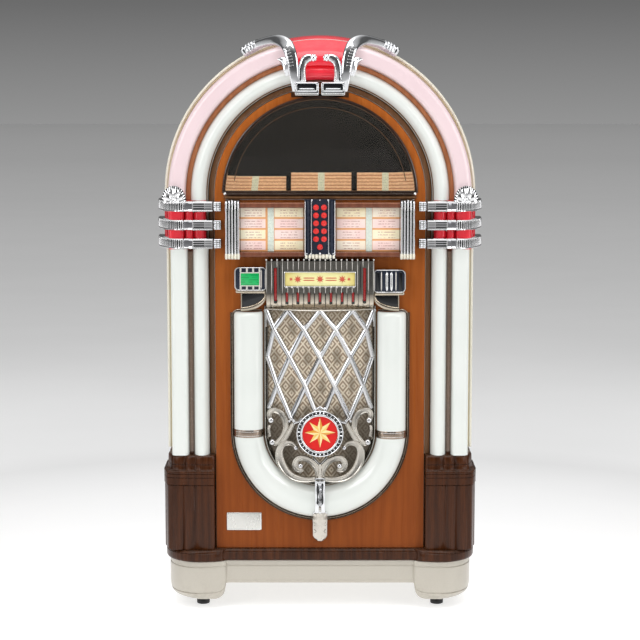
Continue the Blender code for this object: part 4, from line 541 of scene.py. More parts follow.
def make_door_wood():
    """Upright veneer, browner below and more orange on the ring around the window."""
    shader, place = start_finish("door veneer", "door_wood", (150, 74, 30), 0.3, Coat_Weight=0.02,
                                 Coat_Roughness=0.2, Specular_IOR_Level=0.1)
    ring = place.axis("Z").ramp(0.3, 1.16)
    grain = use(VENEER, place, Pale=blend(ring, (143, 75, 31), (176, 98, 38)),
                Dark=blend(ring, (126, 62, 24), (156, 82, 30)), Figure=0.3, Gloss_Low=0.24, Gloss_High=0.38)
    feed(shader, grain["Color"], grain["Roughness"], grain["Height"], 0.1, 0.0006)


def make_satin_paint():
    """Champagne metal paint: fine metallic flakes, and scuffs low down where feet reach."""
    shader, place = start_finish("champagne satin", "satin_paint", (180, 174, 162), 0.35, Metallic=0.35,
                                 Coat_Weight=0.3, Coat_Roughness=0.2)
    flakes = add_node(place.tree, "ShaderNodeTexVoronoi", {"Vector": place, "Scale": 1400.0}, "Color")
    grey = add_node(place.tree, "ShaderNodeSeparateColor", {0: flakes})
    shade = blend(grey.ramp(0.0, 1.0, 0.0, 0.5), (194, 188, 176), (176, 170, 158))
    scuff = place.axis("Z").ramp(0.09, 0.03) * place.noise(40.0, 5.0, 0.7).ramp(0.5, 0.8, 0.0, 0.5)
    cloud = use(MARKS, place, Size=9.0, Low=0.28, High=0.42)
    feed(shader, blend(scuff, shade, (140, 132, 120)), cloud["Roughness"], grey, 0.03, 0.0003)


def make_black_paint():
    """Dusty black paint with a fine orange peel."""
    shader, place = start_finish("black paint", "dark_metal", (30, 29, 29), 0.4, Specular_IOR_Level=0.2)
    cloud = use(MARKS, place, Size=12.0, Low=0.34, High=0.5)
    shade = blend(use(DUST, place, Amount=0.12)["Mask"], blend(cloud["Mask"], (22, 20, 18), (30, 28, 26)),
                  (120, 116, 108))
    feed(shader, shade, cloud["Roughness"], place.noise(420.0, 2.0), 0.03, 0.0003)


def make_glass():
    shader, place = start_finish("smoked glass", "window_glass", (216, 210, 200), 0.02,
                                 Transmission_Weight=1.0, IOR=1.28)
    feed(shader, None, use(MARKS, place, Size=6.0, Low=0.0, High=0.035)["Roughness"])


def make_clear_tube():
    """Liquid tube: cloudy brown, with bubbles that show as small pale rings, painted highlights."""
    shader, place = start_finish("bubble tube", "clear_tube", (196, 176, 150), 0.05, Coat_Weight=0.8,
                                 Coat_Roughness=0.04)
    cells = add_node(place.tree, "ShaderNodeTexVoronoi", {"Vector": place, "Scale": 150.0}, "Distance")
    # The pale rings are painted highlights of bubbles.
    ring = cells.ramp(0.18, 0.26) * cells.ramp(0.36, 0.28)
    shade = blend(place.noise(1.0, 2.0, 0.5, (30.0, 30.0, 8.0)), (92, 72, 58), (112, 86, 66))
    feed(shader, blend(ring * 0.18, shade, (170, 148, 124)), None, cells, 0.06)


def bars(place, pitch, share, across=None, phase=0.0):
    """Level bars at a pitch up Z, each one broken into short dashes by noise along X."""
    line = (place.axis("Z") / pitch + phase).math("FRACT").math("LESS_THAN", share)
    if across:
        line = line * place.noise(1.0, 1.0, 0.5, (across, 1.0, 260.0)).ramp(0.44, 0.5)
    return line


def make_papers():
    """Title cards and pages: pale paper with plain broken bars, no lettering. The page strips and title pages
    glow as painted light, in place of the lamp inside that lights them.
    """
    def paper(name, base, rough, lines, shade, mark, glow=None, **sockets):
        shader, place = start_finish(name, "card_paper", base, rough, **sockets)
        feed(shader, blend(lines(place), shade(place), mark), None, place.noise(900.0), 0.1, 0.0002, glow)

    def card_lines(place):
        out = place.axis("X").math("ABSOLUTE")
        near = [(out - at).math("ABSOLUTE") for at in (0.0813, 0.1745)]
        near = near[0].math("MINIMUM", near[1]).math("LESS_THAN", 0.0225)
        return bars(place, 0.00715, 0.27, 300.0, 0.69) * near * 0.75

    for label, base, wash in (("cream", (253, 243, 226), (250, 232, 208)),
                              ("pink", (252, 230, 222), (249, 216, 210)),
                              ("yellow", (253, 244, 216), (249, 234, 196))):
        paper(f"card {label}", base, 0.55, card_lines,
              lambda place: blend(place.noise(22.0).ramp(0.35, 0.65), base, wash), (176, 112, 104),
              Coat_Weight=0.15)
    # The page strip glows, painted light in place of the lamp inside that lights it; the cards do not glow.
    for name, base, mark, pitch, across, glow in (
            ("card orange", (238, 176, 118), (220, 150, 92), 0.0034, None, None),
            ("card number", (226, 234, 222), (128, 148, 136), 0.0034, 500.0, None),
            ("page strip", (226, 230, 208), (126, 134, 116), 0.0042, 500.0, 0.8)):
        paper(name, base, 0.5, lambda place: bars(place, pitch, 0.35, across) * 0.5, lambda _: base, mark,
              glow)
    # The title page glows too: painted light in place of the lamp inside.
    paper("title page", (206, 150, 112), 0.5, lambda place: bars(place, 0.0042, 0.3, 160.0) * 0.5,
          lambda place: blend(bars(place, 0.0085, 0.3), (242, 200, 160), (196, 132, 92)), (150, 92, 60), 0.8)


def make_name_panel():
    """Bare lit panel: cream yellow, warmer at its ends."""
    shader, place = start_finish("name panel", "cream_moulding", (240, 234, 168), 0.25, Coat_Weight=0.4)
    side = place.axis("X").math("ABSOLUTE").ramp(0.05, 0.09)
    cloud = place.noise(30.0).ramp(0.3, 0.7, 0.0, 0.4)
    shade = blend(cloud, blend(side, (242, 238, 172), (226, 206, 118)), (232, 220, 150))
    feed(shader, shade, None, place.noise(300.0), 0.05, 0.0003)


def make_display():
    """Green display: rows of small dim cells, with no figures in them."""
    shader, place = start_finish("green display", "window_glass", (30, 196, 118), 0.2, Coat_Weight=0.6)
    cells = [(place.axis(key) / 0.0011).math("FRACT").math("GREATER_THAN", 0.2) for key in "XZ"]
    dark = cells[0] * cells[1] * bars(place, 0.0062, 0.5, 110.0) * 0.6
    feed(shader, blend(dark, (8, 166, 86), (4, 78, 42)), glow=0.12)


def make_cloth():
    """Diaper weave: nested diamonds of two threads in a broad lattice, over a fine plain weave,
    with painted shade: soft dark patches in the lattice's cells, a darker part low at each side, and a shade
    under the rail above."""
    shader, place = start_finish("diaper cloth", "grille_cloth", (206, 188, 160), 0.8, Sheen_Weight=0.3,
                                 Sheen_Roughness=0.5)
    x, z = place.axis("X"), place.axis("Z")
    folds = [(x * (sign * 33.0) + z * 26.6).math("PINGPONG", 0.5) for sign in (1, -1)]
    rings = (folds[0].math("MAXIMUM", folds[1]) * 3.0).math("PINGPONG", 0.5)
    shade = blend(rings.ramp(0.08, 0.4), (150, 122, 92), (250, 238, 218))
    # Painted shade: soft dark patches at the centres of the lattice's cells, broken by noise.
    waves = [((axis + start) * rate).math("COSINE")
             for axis, rate, start in ((x, 79.5, -0.0065), (z, 41.9, -0.603))]
    spots = place.noise(34.0, 2.0) * 0.9 + waves[0] * waves[1]
    shade = blend(spots.ramp(0.92, 1.4, 0.0, 0.62), shade, (96, 78, 50))
    # Painted shade: darker low down towards each side, behind the lower scrolls.
    deep = x.math("ABSOLUTE").ramp(0.02, 0.075) * z.ramp(0.56, 0.5)
    shade = blend(deep * 0.85, shade, (62, 47, 30))
    shade = blend(z.ramp(0.762, 0.812, 0.0, 0.7), shade, (96, 80, 54))
    shade = blend(place.noise(700.0, 2.0).ramp(0.3, 0.7, 0.0, 0.2), shade, (236, 226, 206))
    weave = (x * 5200.0).math("SINE") * (z * 5200.0).math("SINE")
    feed(shader, shade, None, weave * 0.25 + rings, 0.5, 0.0006)


def make_finishes():
    wood("cabinet veneer", "shell_wood", (158, 88, 48), (104, 52, 28), 0.35, (0.22, 0.36))
    wood("dark walnut", "dark_wood", (76, 39, 15), (41, 19, 6), 0.35, (0.2, 0.34), 0.03)
    wood("copper brown", "frame_brown", (204, 136, 92), (160, 98, 62), 0.2)
    wood("strip brown", "frame_brown", (136, 98, 66), (98, 68, 43), 0.2)
    wood("rack brown", "dark_wood", (132, 80, 58), (92, 50, 36), 0.2, (0.12, 0.24), 0.3)
    metal("chrome", (0.80, 0.81, 0.83, 1.0), 0.03, 0.11)
    metal("satin chrome", (0.76, 0.76, 0.75, 1.0), 0.14, 0.3, 30.0, 0.06)
    metal("bright trim", (0.86, 0.86, 0.85, 1.0), 0.1, 0.2)
    metal("dark chrome", (0.19, 0.18, 0.16, 1.0), 0.16, 0.3)
    metal("warm trim", (196, 184, 166), 0.18, 0.32, 30.0, 0.05)
    metal("grey lattice", (0.70, 0.71, 0.73, 1.0), 0.08, 0.22, 40.0, 0.05)
    metal("bright lattice", (0.66, 0.66, 0.67, 1.0), 0.12, 0.24, 40.0, 0.04)
    metal("scroll satin", (206, 201, 192), 0.22, 0.36, 34.0, 0.06)
    metal("brushed clip", (158, 142, 128), 0.22, 0.36, 30.0, 0.05)
    metal("bright chrome", (0.93, 0.93, 0.94, 1.0), 0.04, 0.12, 30.0, 0.02)
    metal("grey facet", (0.34, 0.34, 0.36, 1.0), 0.12, 0.24)
    metal("trim silver", (176, 162, 148), 0.2, 0.34, 40.0, 0.04)
    metal("steel", (150, 150, 152), 0.28, 0.42, slot="steel")
    # The white and pink plastics glow a little: painted light that brightens them and evens out their
    # shading.
    gloss("white plastic", "white_plastic", (196, 199, 195), (190, 194, 190),
          Emission_Color=(240, 243, 238), Emission_Strength=0.28)
    gloss("pink plastic", "pink_plastic", (206, 186, 189), (201, 180, 184),
          Emission_Color=(242, 220, 222), Emission_Strength=0.28)
    gloss("red plastic", "red_plastic", (232, 44, 58), (218, 34, 50), (0.1, 0.22), 0.3)
    # The keystone glows a little: painted light.
    gloss("keystone red", "red_plastic", (250, 60, 76), (240, 50, 66), (0.1, 0.22), 0.3,
          Emission_Color=(236, 40, 56), Emission_Strength=0.12)
    gloss("key red", "red_plastic", (226, 40, 34), (206, 28, 24), (0.15, 0.3), 0.4)
    gloss("slot red", "red_plastic", (158, 22, 20), (120, 14, 14), (0.2, 0.35), 0.3)
    gloss("ornament red", "red_plastic", (206, 92, 66), (196, 80, 58), (0.3, 0.4), 0.2)
    gloss("enamel red", "medallion_enamel", (222, 20, 14), (206, 14, 10), (0.1, 0.2), 0.15,
          Specular_IOR_Level=0.3)
    gloss("pale gold", "medallion_enamel", (250, 232, 168), (246, 224, 152), (0.2, 0.3))
    gloss("soft gold", "medallion_enamel", (244, 208, 118), (238, 198, 104), (0.2, 0.3))
    gloss("deep gold", "medallion_enamel", (228, 158, 56), (216, 146, 48), (0.2, 0.3))
    # Pale non-metal paint in place of chrome and silver lines, so they always read bright: a painted
    # highlight.
    gloss("pale line", "chrome", (216, 212, 206), (202, 198, 192), (0.2, 0.3), 0.3)
    gloss("gold line", "cream_moulding", (212, 197, 160), (200, 184, 146), (0.3, 0.45), 0.1)
    gloss("cream", "cream_moulding", (236, 232, 216), (228, 222, 204))
    gloss("olive line", "frame_brown", (150, 136, 100), (132, 118, 84), (0.2, 0.34), 0.2)
    gloss("trim brown", "frame_brown", (98, 80, 66), (78, 62, 50), (0.2, 0.34), 0.2)
    gloss("black gloss", "dark_metal", (20, 22, 26), (12, 13, 16), (0.06, 0.16), 0.2)
    gloss("navy face", "dark_metal", (40, 46, 62), (28, 33, 46), (0.2, 0.34), 0.1, Specular_IOR_Level=0.25)
    gloss("bezel brown", "dark_metal", (62, 44, 36), (46, 32, 26), (0.15, 0.3), 0.5)
    gloss("rubber black", "dark_metal", (26, 26, 27), (18, 18, 19), (0.45, 0.6), 0.0)
    gloss("bare plate", "dark_metal", (228, 227, 222), (218, 217, 212), (0.25, 0.38), 0.2, Metallic=0.6)
    for make in (make_roll_satin, make_door_wood, make_satin_paint, make_black_paint, make_glass,
                 make_clear_tube, make_papers, make_name_panel, make_display, make_cloth):
        make()


def keep(node_name, entry):
    """A CAD node whose shape is right stays, with a finish in its material slots."""
    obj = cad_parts[node_name]
    if not obj.material_slots:
        obj.data.materials.append(None)
    for slot in obj.material_slots:
        slot.link, slot.material = "OBJECT", FINISHES[entry][0]


def arch_turns(low_z, end=PI / 2, count=40):
    """Heights and turns of the stations up to the springing line and on round the arch."""
    return np.concatenate([[low_z], np.full(count, ARCH_Z)]), np.concatenate([[0], steps(0, end, count)])


def hoop_turns(foot_z, count, centre_z=ARCH_Z, end=PI):
    """Stations from the right foot, over the arch or under the U, to the left foot."""
    heights = np.concatenate([[foot_z], np.full(count, centre_z), [foot_z]])
    return heights, np.concatenate([[0], steps(0, end, count), [end]])


def outer_plastic_curve(inset=0.0, count=12):
    """Front of the outer plastic (u, y): a quarter ellipse, a flat face, a round corner, and a
    side that falls straight back."""
    nose_y, low_u, high_u = -0.2977 + inset, 0.3535 + inset, 0.4042 - inset
    t = steps(0, PI / 2, count)
    inner = pairs(0.3655 - (0.3655 - low_u) * np.cos(t) ** 0.8,
                  nose_y + (FRAME_Y - nose_y) * (1 - np.sin(t) ** 0.8))
    corner = pairs(0.3838 + (0.0140 - inset) * np.sin(t), nose_y + 0.0150 * (1 - np.cos(t)))
    return joined(inner, corner, [(high_u, -0.165)])


def tube_curve(inset=0.0):
    """Front of the inner tube (u, y): half an ellipse on the frame's face."""
    t = steps(0, PI, 25)
    return pairs(0.31825 - (0.01975 - inset) * np.cos(t), FRAME_Y - (0.033 - inset) * np.sin(t))


def make_cabinet():
    wall = np.array([(0.4, -0.1297), (0.4, 0.3325), (0.382, 0.3325), (0.382, -0.1297)])
    floor = block((-0.3815, -0.1297, 0.1372), (0.3815, 0.3325, 0.155), 0.0005)
    piece("cabinet_shell", [shell(around(wall, *hoop_turns(0.137, 145))), floor], "cabinet veneer",
          stands_for="cabinet_carcass")
    for node_name, entry in (("back_panel", "black paint"), ("front_frame", "strip brown"),
                             ("disc_mechanism", "steel"), ("disc_carousel", "black paint")):
        keep(node_name, entry)
    rail = rounded_box(-0.0008, 0.0008, 0.3322, 0.3445, 0.0006) + [0.3985, 0]
    piece("back_trim", shell(around(rail, *hoop_turns(0.139, 97))), "black paint")


REBATE = [(STEP_U, STEP_Y), (STEP_U, BEHIND_Y), (0.2985, BEHIND_Y)]     # back of the red plastics


def collar_section():
    """Plan of a collar: round lobes over the tube and over the gap, and the wide lobe of the
    outer plastic, each set in a little where they meet."""
    t = steps(0.02, PI - 0.02, 14)
    inner, middle = (pairs(u - width * np.cos(t), FRAME_Y - 0.0135 - depth * np.sin(t) ** 0.8)
                     for u, width, depth in ((0.3146, 0.0161, 0.0185), (0.3424, 0.0115, 0.0175)))
    wide = outer_plastic_curve()
    front = joined(inner, middle, wide[wide[:, 1] < -0.2785 + 0.2 * (wide[:, 0] > 0.367)])
    outer = arc((0.4062, -0.171), (0.0102, 0.0125), 1.45 * PI, 2 * PI, 8)
    return joined(front[front[:, 0] < 0.4035], outer, [(0.4164, STEP_Y)], REBATE)


def make_plastics():
    """Plastics three millimetres thick over the arch and the columns, which stop short of the
    collars, the round tube between the columns with a cap at each end, and the collars."""
    outer = np.concatenate([outer_plastic_curve(), outer_plastic_curve(0.003)[::-1]])
    tube = np.concatenate([tube_curve(), tube_curve(0.003)[::-1]])
    z, turns = arch_turns(1.0938, PI / 2 - 0.2003, 60)
    column_z = np.array([0.4166, 0.42, 0.96, 0.9657])
    for label, side in SIDES.items():
        for form, section, entry, shift in (("outer", outer, "pink plastic", 0.005),
                                            ("inner", tube, "white plastic", 0.0038)):
            piece(f"arch_{form}_plastic_{label}", shell(around(section, z, turns, side)), entry,
                  stands_for=f"arch_{form}_{label}")
            piece(f"column_{form}_plastic_{label}", shell(around(section, column_z, 0, side, shift)),
                  "white plastic", stands_for=f"column_{form}_{label}")
        centre = (side * 0.3414, -0.2717, 0)
        caps = [turned([(0.0, low), (0.0055, low), (0.0065, low + 0.001), (0.0065, high - 0.001),
                        (0.0055, high), (0.0, high)], centre, 24, "z", 1)
                for low, high in ((0.4166, 0.4245), (0.9575, 0.9655))]
        piece(f"bubble_tube_{label}_clear",
              [turned([(0.0063, 0.424), (0.0063, 0.958)], centre, 24, "z")] + caps,
              ["bubble tube", "dark walnut"], stands_for=f"bubble_tube_{label}")
        collar = around(collar_section(), [0.966, 0.9662, 1.0933, 1.0935], 0, side)
        piece(f"collar_red_{label}", shell(collar), "red plastic", stands_for=f"collar_{label}")


def make_keystone():
    """A round lobe over the tube, and a broad one that steps forward from it and falls away
    over the outer edge, with a pale bead whose pale is a painted highlight."""
    t = steps(0.02, PI - 0.02, 16)
    inner = pairs(0.3165 - 0.018 * np.cos(t), FRAME_Y - 0.0115 - 0.021 * np.sin(t) ** 0.8)
    step = arc((0.3392, -0.2945), (0.0042, 0.0062), PI, 1.5 * PI, 5)
    t = steps(0, PI / 2, 26)
    outer = pairs(0.345 + 0.0709 * np.sin(t) ** 1.1, -0.301 + 0.146 * (1 - np.cos(t)) ** 1.1)
    back = [(0.4159, -0.1298), (0.4013, -0.1298), (0.4013, STEP_Y)]
    section = joined(inner, step, outer, back, REBATE)
    turns = steps(PI / 2 - 0.2, PI / 2 + 0.2, 41)
    # A pale bead along the keystone: its pale is a painted highlight.
    line = around(section[np.abs(section[:, 0] - 0.4048).argmin()][None], ARCH_Z, turns)[:, 0]
    piece("keystone_red", [shell(around(section, ARCH_Z, turns)),
                           bar(line + [0, -0.0004, 0], 0.0019, 0.0019, 10, paint=1)],
          ["keystone red", "pale line"], stands_for="keystone")


def make_arch_trim():
    """Mouldings that follow the whole arch: the cream edge with its gold line, and the brown
    strips and pale beads that lie on the frame between the plastics and the door. The beads' pale is a
    painted highlight."""
    z = np.concatenate([[0.4165, 0.9605, 0.966], np.full(70, ARCH_Z)])
    turns = np.concatenate([[0, 0, 0], steps(0, PI / 2 - 0.2, 70)])
    inset = np.concatenate([[0.00375, 0.00375, 0.0], np.zeros(70)])
    cream = joined([(0.4011, -0.1484), (0.4045, -0.1484), (0.4075, -0.1655)],
                   arc((0.4118, -0.1668), (0.0041, 0.0058), PI, 2 * PI, 13),
                   [(0.4159, -0.1295), (0.4011, -0.1295)])
    gold = joined(arc((0.4062, -0.1668), (0.0018, 0.0046), PI, 2 * PI, 9),
                  [(0.4076, -0.149), (0.4046, -0.149)])
    parts = [shell(around(section, z, turns, side, inset), paint=paint)
             for side in (-1, 1) for paint, section in enumerate((cream, gold))]
    piece("outer_moulding_cream", parts, ["cream", "gold line"], stands_for="outer_moulding")

    face = FRAME_Y + 0.0004

    def beads(lines, stations):
        return [shell(around(joined(arc(((low + high) / 2, face), ((high - low) / 2, rise), PI, 2 * PI,
                                        count)), *stations), paint=paint)
                for low, high, rise, paint, count in lines]

    stations = hoop_turns(0.4165, 145)
    # The pale beads are painted highlights: the one nearest the door stands for the door's edge catching
    # light.
    strips = beads(((0.2768, 0.2788, 0.0042, 1, 9), (0.2915, 0.2932, 0.0026, 2, 9),
                    (0.2938, 0.2958, 0.0036, 1, 9)), stations)
    cove = joined([(0.279, face), (0.279, face - 0.0042)],
                  pairs(steps(0.2792, 0.2912, 9), face - 0.0018 - 0.0024 * steps(-1, 1, 9) ** 2),
                  [(0.2914, face)])
    strips.append(shell(around(cove, *stations)))
    piece("inner_strip", strips, ["strip brown", "pale line", "black gloss"])
    # The pale beads here are painted highlights too.
    parts = beads(((0.33915, 0.35235, 0.0045, 0, 13), (0.352, 0.3534, 0.0042, 1, 7),
                   (0.3379, 0.3393, 0.0028, 1, 7)), hoop_turns(1.094, 145))
    piece("arch_gap_strip", parts, ["copper brown", "pale line"])


def band_strip(front, out, span, low, high, proud, side, paint, rib=False):
    """A raised part of a band between two distances round it and two shares of its height. A rib
    is round across its width, and a strip is flat with softened edges."""
    at = steps(*span, 7 if rib else 36)
    place, normal = (np.stack([np.interp(at, lengths(front), line[:, k]) for k in (0, 1)], -1)
                     for line in (front, out))
    t = steps(-1, 1, len(at))
    swell = proud * (np.sqrt(1 - 0.98 * t ** 2) if rib else 1 - 0.4 * np.abs(t) ** 12)
    ring = np.array([(low, -1.2), (low, 0.4), (low + 0.0007, 0.9), (low + 0.0016, 1.0),
                     (high - 0.0016, 1.0), (high - 0.0007, 0.9), (high, 0.4), (high, -1.2)])
    reach = -0.0019 + swell[:, None] * np.maximum(ring[None, :, 1], -1)
    return shell(pairs(side * (place[:, :1] + normal[:, :1] * reach), place[:, 1:] + normal[:, 1:] * reach,
                       ring[:, 0]), paint=paint)


def band_dress(front, out, side, low_z):
    """Upright ribs over a dark strip round the outer part, a dark facet, three dark level lines
    nearer the door and fine lines at the end."""
    s = lengths(front)
    at = {u: s[np.argmax(front[:, 0] > u)]
          for u in (0.283, 0.2995, 0.3015, 0.3318, 0.3345, 0.3548, 0.3575, 0.3595)}
    low, high = low_z + 0.0055, low_z + 0.0245

    def strip(start, stop, low, high, proud, paint):
        return band_strip(front, out, (start, stop), low, high, proud, side, paint)

    def rib(spot, grow, proud):
        return band_strip(front, out, (spot - 0.0016, spot + 0.0016), low - grow, high + grow, proud, side, 0,
                          True)

    parts = [strip(at[0.3595], s[-1] - 0.012, low, high, 0.0007, 1),
             strip(at[0.3345], at[0.3548], low + 0.001, high - 0.001, 0.0007, 2),
             rib(at[0.3575], 0.001, 0.0030)]
    parts += [rib(spot, 0.0004, 0.0016) for spot in np.arange(at[0.3595] + 0.0038, s[-1] - 0.013, 0.0067)]
    for share in (0.33, 0.53, 0.73):
        z = low_z + BAND_TALL * share
        parts.append(strip(at[0.3015], at[0.3318], z - 0.0016, z + 0.0016, 0.0007, 1))
        parts.append(strip(at[0.283], at[0.2995], z - 0.0006, z + 0.0006, 0.0005, 2))
    return parts


def make_bands():
    """Three chrome bands on each side. In plan (u, y) a band steps past the tube and bends round
    the outer plastic; its face is flat between a broad lip above and a narrow one below. Its
    outer end is a smooth upright roll, and a filling closes it towards the door."""
    t = steps(0, PI / 2, 90)
    bend = pairs(0.367 + 0.0662 * np.sin(t),
                 -0.2977 + 0.1327 * (1 - np.cos(t)) - 0.018 * (1 - np.sin(t)))
    front = spaced(joined([(0.2805, -0.3157), (0.3325, -0.3157), (0.3335, -0.3105), (0.344, -0.3068),
                           (0.3545, -0.3105), (0.3555, -0.3157)], bend), 420)
    out = np.gradient(front, axis=0)
    out = unit(pairs(out[:, 1], -out[:, 0]))
    w = steps(0, 1, 29)[:, None]
    lip = 0.0016 * np.exp(-((w - 0.1) / 0.07) ** 2) + 0.0010 * np.exp(-((w - 0.93) / 0.05) ** 2)
    proud = lip - 0.003 * np.clip(1 - np.minimum(w, 1 - w) / 0.07, 0, 1) ** 2 - 0.0018
    x, y = (front[None, :, k] + proud * out[None, :, k] for k in (0, 1))
    t = steps(0, PI / 2, 60)
    inner = spaced(joined([(0.2805, -0.2985), (0.367, -0.2985)],
                          pairs(0.367 + 0.0375 * np.sin(t), -0.2985 + 0.1335 * (1 - np.cos(t)))), 420)
    for label, side in SIDES.items():
        for at, tier in enumerate(("lower", "middle", "upper")):
            low_z = BAND_Z + BAND_STEP * at
            rings = np.concatenate([pairs(side * x, y, low_z + w * BAND_TALL)]
                                   + [pairs(side * inner[:, 0], inner[:, 1], low_z + rise)[None]
                                      for rise in (BAND_TALL, 0.0)])
            outline = rounded_box(low_z + 0.0005, low_z + 0.0285, -0.178, -0.1545, 0.004)
            middle = outline.mean(0)
            roll = [pairs(side * 0.4045, outline[:, 1], outline[:, 0])]
            for share in steps(0, 1, 9):
                ring = middle + (outline - middle) * np.sqrt(1 - (share * 0.98) ** 2)
                roll.append(pairs(side * (0.4185 + 0.0135 * share), ring[:, 1], ring[:, 0]))
            seam = (*sorted((side * 0.2806, side * 0.2984)), low_z, low_z + BAND_TALL, 0.001)
            parts = [shell(np.swapaxes(rings, 0, 1))] + band_dress(front, out, side, low_z)
            parts += [shell(np.stack(roll)), plate(seam, FRAME_Y - 0.0006, -0.312, 0.001)]
            if tier == "upper":
                parts += crest_shells(side, low_z + 0.0265)
            piece(f"band_{tier}_chrome_{label}", parts, ["bright chrome", "black gloss", "grey facet"],
                  stands_for=f"band_{tier}_{label}")


def crest_shells(side, foot_z):
    """Fan on the upper band: radial flutes that swell outwards, inside a roped half-round rim,
    over a row of small drops."""
    u, y, width, height = 0.3815, -0.3152, 0.0275, 0.0365

    def fan(turn, reach, grow=0.0):
        """Across and up at a turn of the fan: at a share of its reach, or past its rim."""
        out, up = width * reach + grow, height * reach + grow
        return side * (u + out * np.cos(turn)), foot_z + up * np.sin(turn)

    turns = steps(0, PI, 99)
    reach = steps(0.12, 1.0, 14)[:, None]
    lift = (0.0035 + 0.0075 * (1 - (reach - 0.55) ** 2 * 2.2)
            + 0.0032 * np.abs(np.cos(turns * 4.5 + PI / 4)) * reach)
    x = u + width * reach * np.cos(turns) * 0.98
    front = pairs(x * side, y + 0.0125 - lift, foot_z + height * reach * np.sin(turns))
    rim_x, rim_z = fan(turns, 1)
    parts = [relief(front, y + 0.0165), bar(pairs(rim_x, y + 0.0085, rim_z), 0.0108, 0.0100, 12, paint=1)]
    grow = np.array([-0.0052, 0.0, 0.0052])
    for turn in steps(0.05, PI - 0.05, 17):
        x, z = fan(turn, 1, grow)
        path = pairs(x, y + np.array([0.0058, 0.0024, 0.0058]), z + grow * 0.35)
        parts.append(bar(spaced(path, 7), 0.0034, 0.004, 8, 0.002))
    for turn in ((np.arange(9) + 0.5) * PI / 9 + PI / 18)[:-1]:
        x, z = fan(turn, steps(0.25, 0.8, 8))
        parts.append(bar(pairs(x, y + 0.0042 - 0.001, z), 0.0034, 0.0044, 8, 0.002, 1))
    return parts + [ball((side * (u + width * spot), y + 0.005, foot_z - 0.0005), 0.0042)
                    for spot in steps(-0.85, 0.85, 7)]


def make_crown():
    """Each casting: a block with a rimmed dark panel, an arm that hooks in over the keystone
    and ends in a beaded curl, a leaf, and a strap that climbs the arch and runs back over it."""
    for label, side in SIDES.items():
        low, high = sorted((side * 0.003, side * 0.065))
        rim = rounded_box(low + 0.0045, high - 0.0045, 1.3775, 1.3982, 0.005)
        hook = pairs(steps(low + 0.011, high - 0.011, 12), -0.3332, 1.3832)
        foot = [plate((low, high, 1.3664, 1.4005, 0.004), -0.2996, -0.3325, 0.002),
                hoop(rim, -0.3325, 0.0035, 0.003),
                plate((low + 0.006, high - 0.006, 1.379, 1.3968, 0.004), -0.32, -0.3329, 0.0006, 1),
                plate((low + 0.0035, high - 0.0035, 1.3722, 1.3738, 0.0007), -0.32, -0.3328, 0.0003, 1),
                bar(hook, 0.0034, 0.0022, 8, 0.002),
                plate((low + 0.001, high - 0.001, 1.3664, 1.3718, 0.0018), -0.2996, -0.3335, 0.0016, 2)]

        line = crown_line(side, 60, (0.0478, 0.0462, 0.0458, 0.0452, 0.041, 0.0315, 0.0212),
                          (-0.322, -0.3245, -0.325, -0.3245, -0.3235, -0.323, -0.323),
                          (1.392, 1.408, 1.425, 1.44, 1.4535, 1.4615, 1.4628))
        arm = [bar(line, varied(60, [0, 0.3, 0.6, 0.8, 1], [0.0265, 0.0195, 0.0195, 0.0235, 0.0195]),
                   varied(60, [0, 0.4, 0.8, 1], [0.012, 0.0165, 0.0185, 0.0165]), boxed(22, 0.72), 0.002),
               bar(line[6:52] + [side * -0.0052, -0.0068, 0], 0.0042, 0.0032, 8, 0.004, 3),
               bar(line[8:50] + [side * 0.0042, -0.0074, 0], 0.0036, 0.0024, 8, 0.004, 1),
               ball((side * 0.0168, -0.3232, 1.4628), 0.0096)]
        arm += [ball((side * (0.0168 + 0.0068 * math.cos(a)), -0.3286, 1.4628 + 0.0068 * math.sin(a)), 0.0030)
                for a in steps(0.3, 2 * PI + 0.3, 8)[:-1]]

        line = crown_line(side, 40, (0.0705, 0.079, 0.0895, 0.1, 0.1095),
                          (-0.320, -0.3215, -0.320, -0.3165, -0.313),
                          (1.4235, 1.4405, 1.4515, 1.4575, 1.4588))
        leaf = bar(line, varied(40, [0, 0.3, 0.6, 0.85, 1], [0.038, 0.0355, 0.025, 0.013, 0.003]),
                   varied(40, [0, 0.5, 1], [0.0125, 0.0115, 0.003]), ROOF * [1, 0.6])
        piece(f"crown_chrome_{label}", foot + arm + [leaf] + crown_strap(side),
              ["chrome", "black gloss", "satin chrome", "bright trim"], stands_for=f"crown_casting_{label}",
              crease=50)


def crown_line(side, count, x, y, z):
    return flowing(pairs(side * np.array(x), y, z), count)


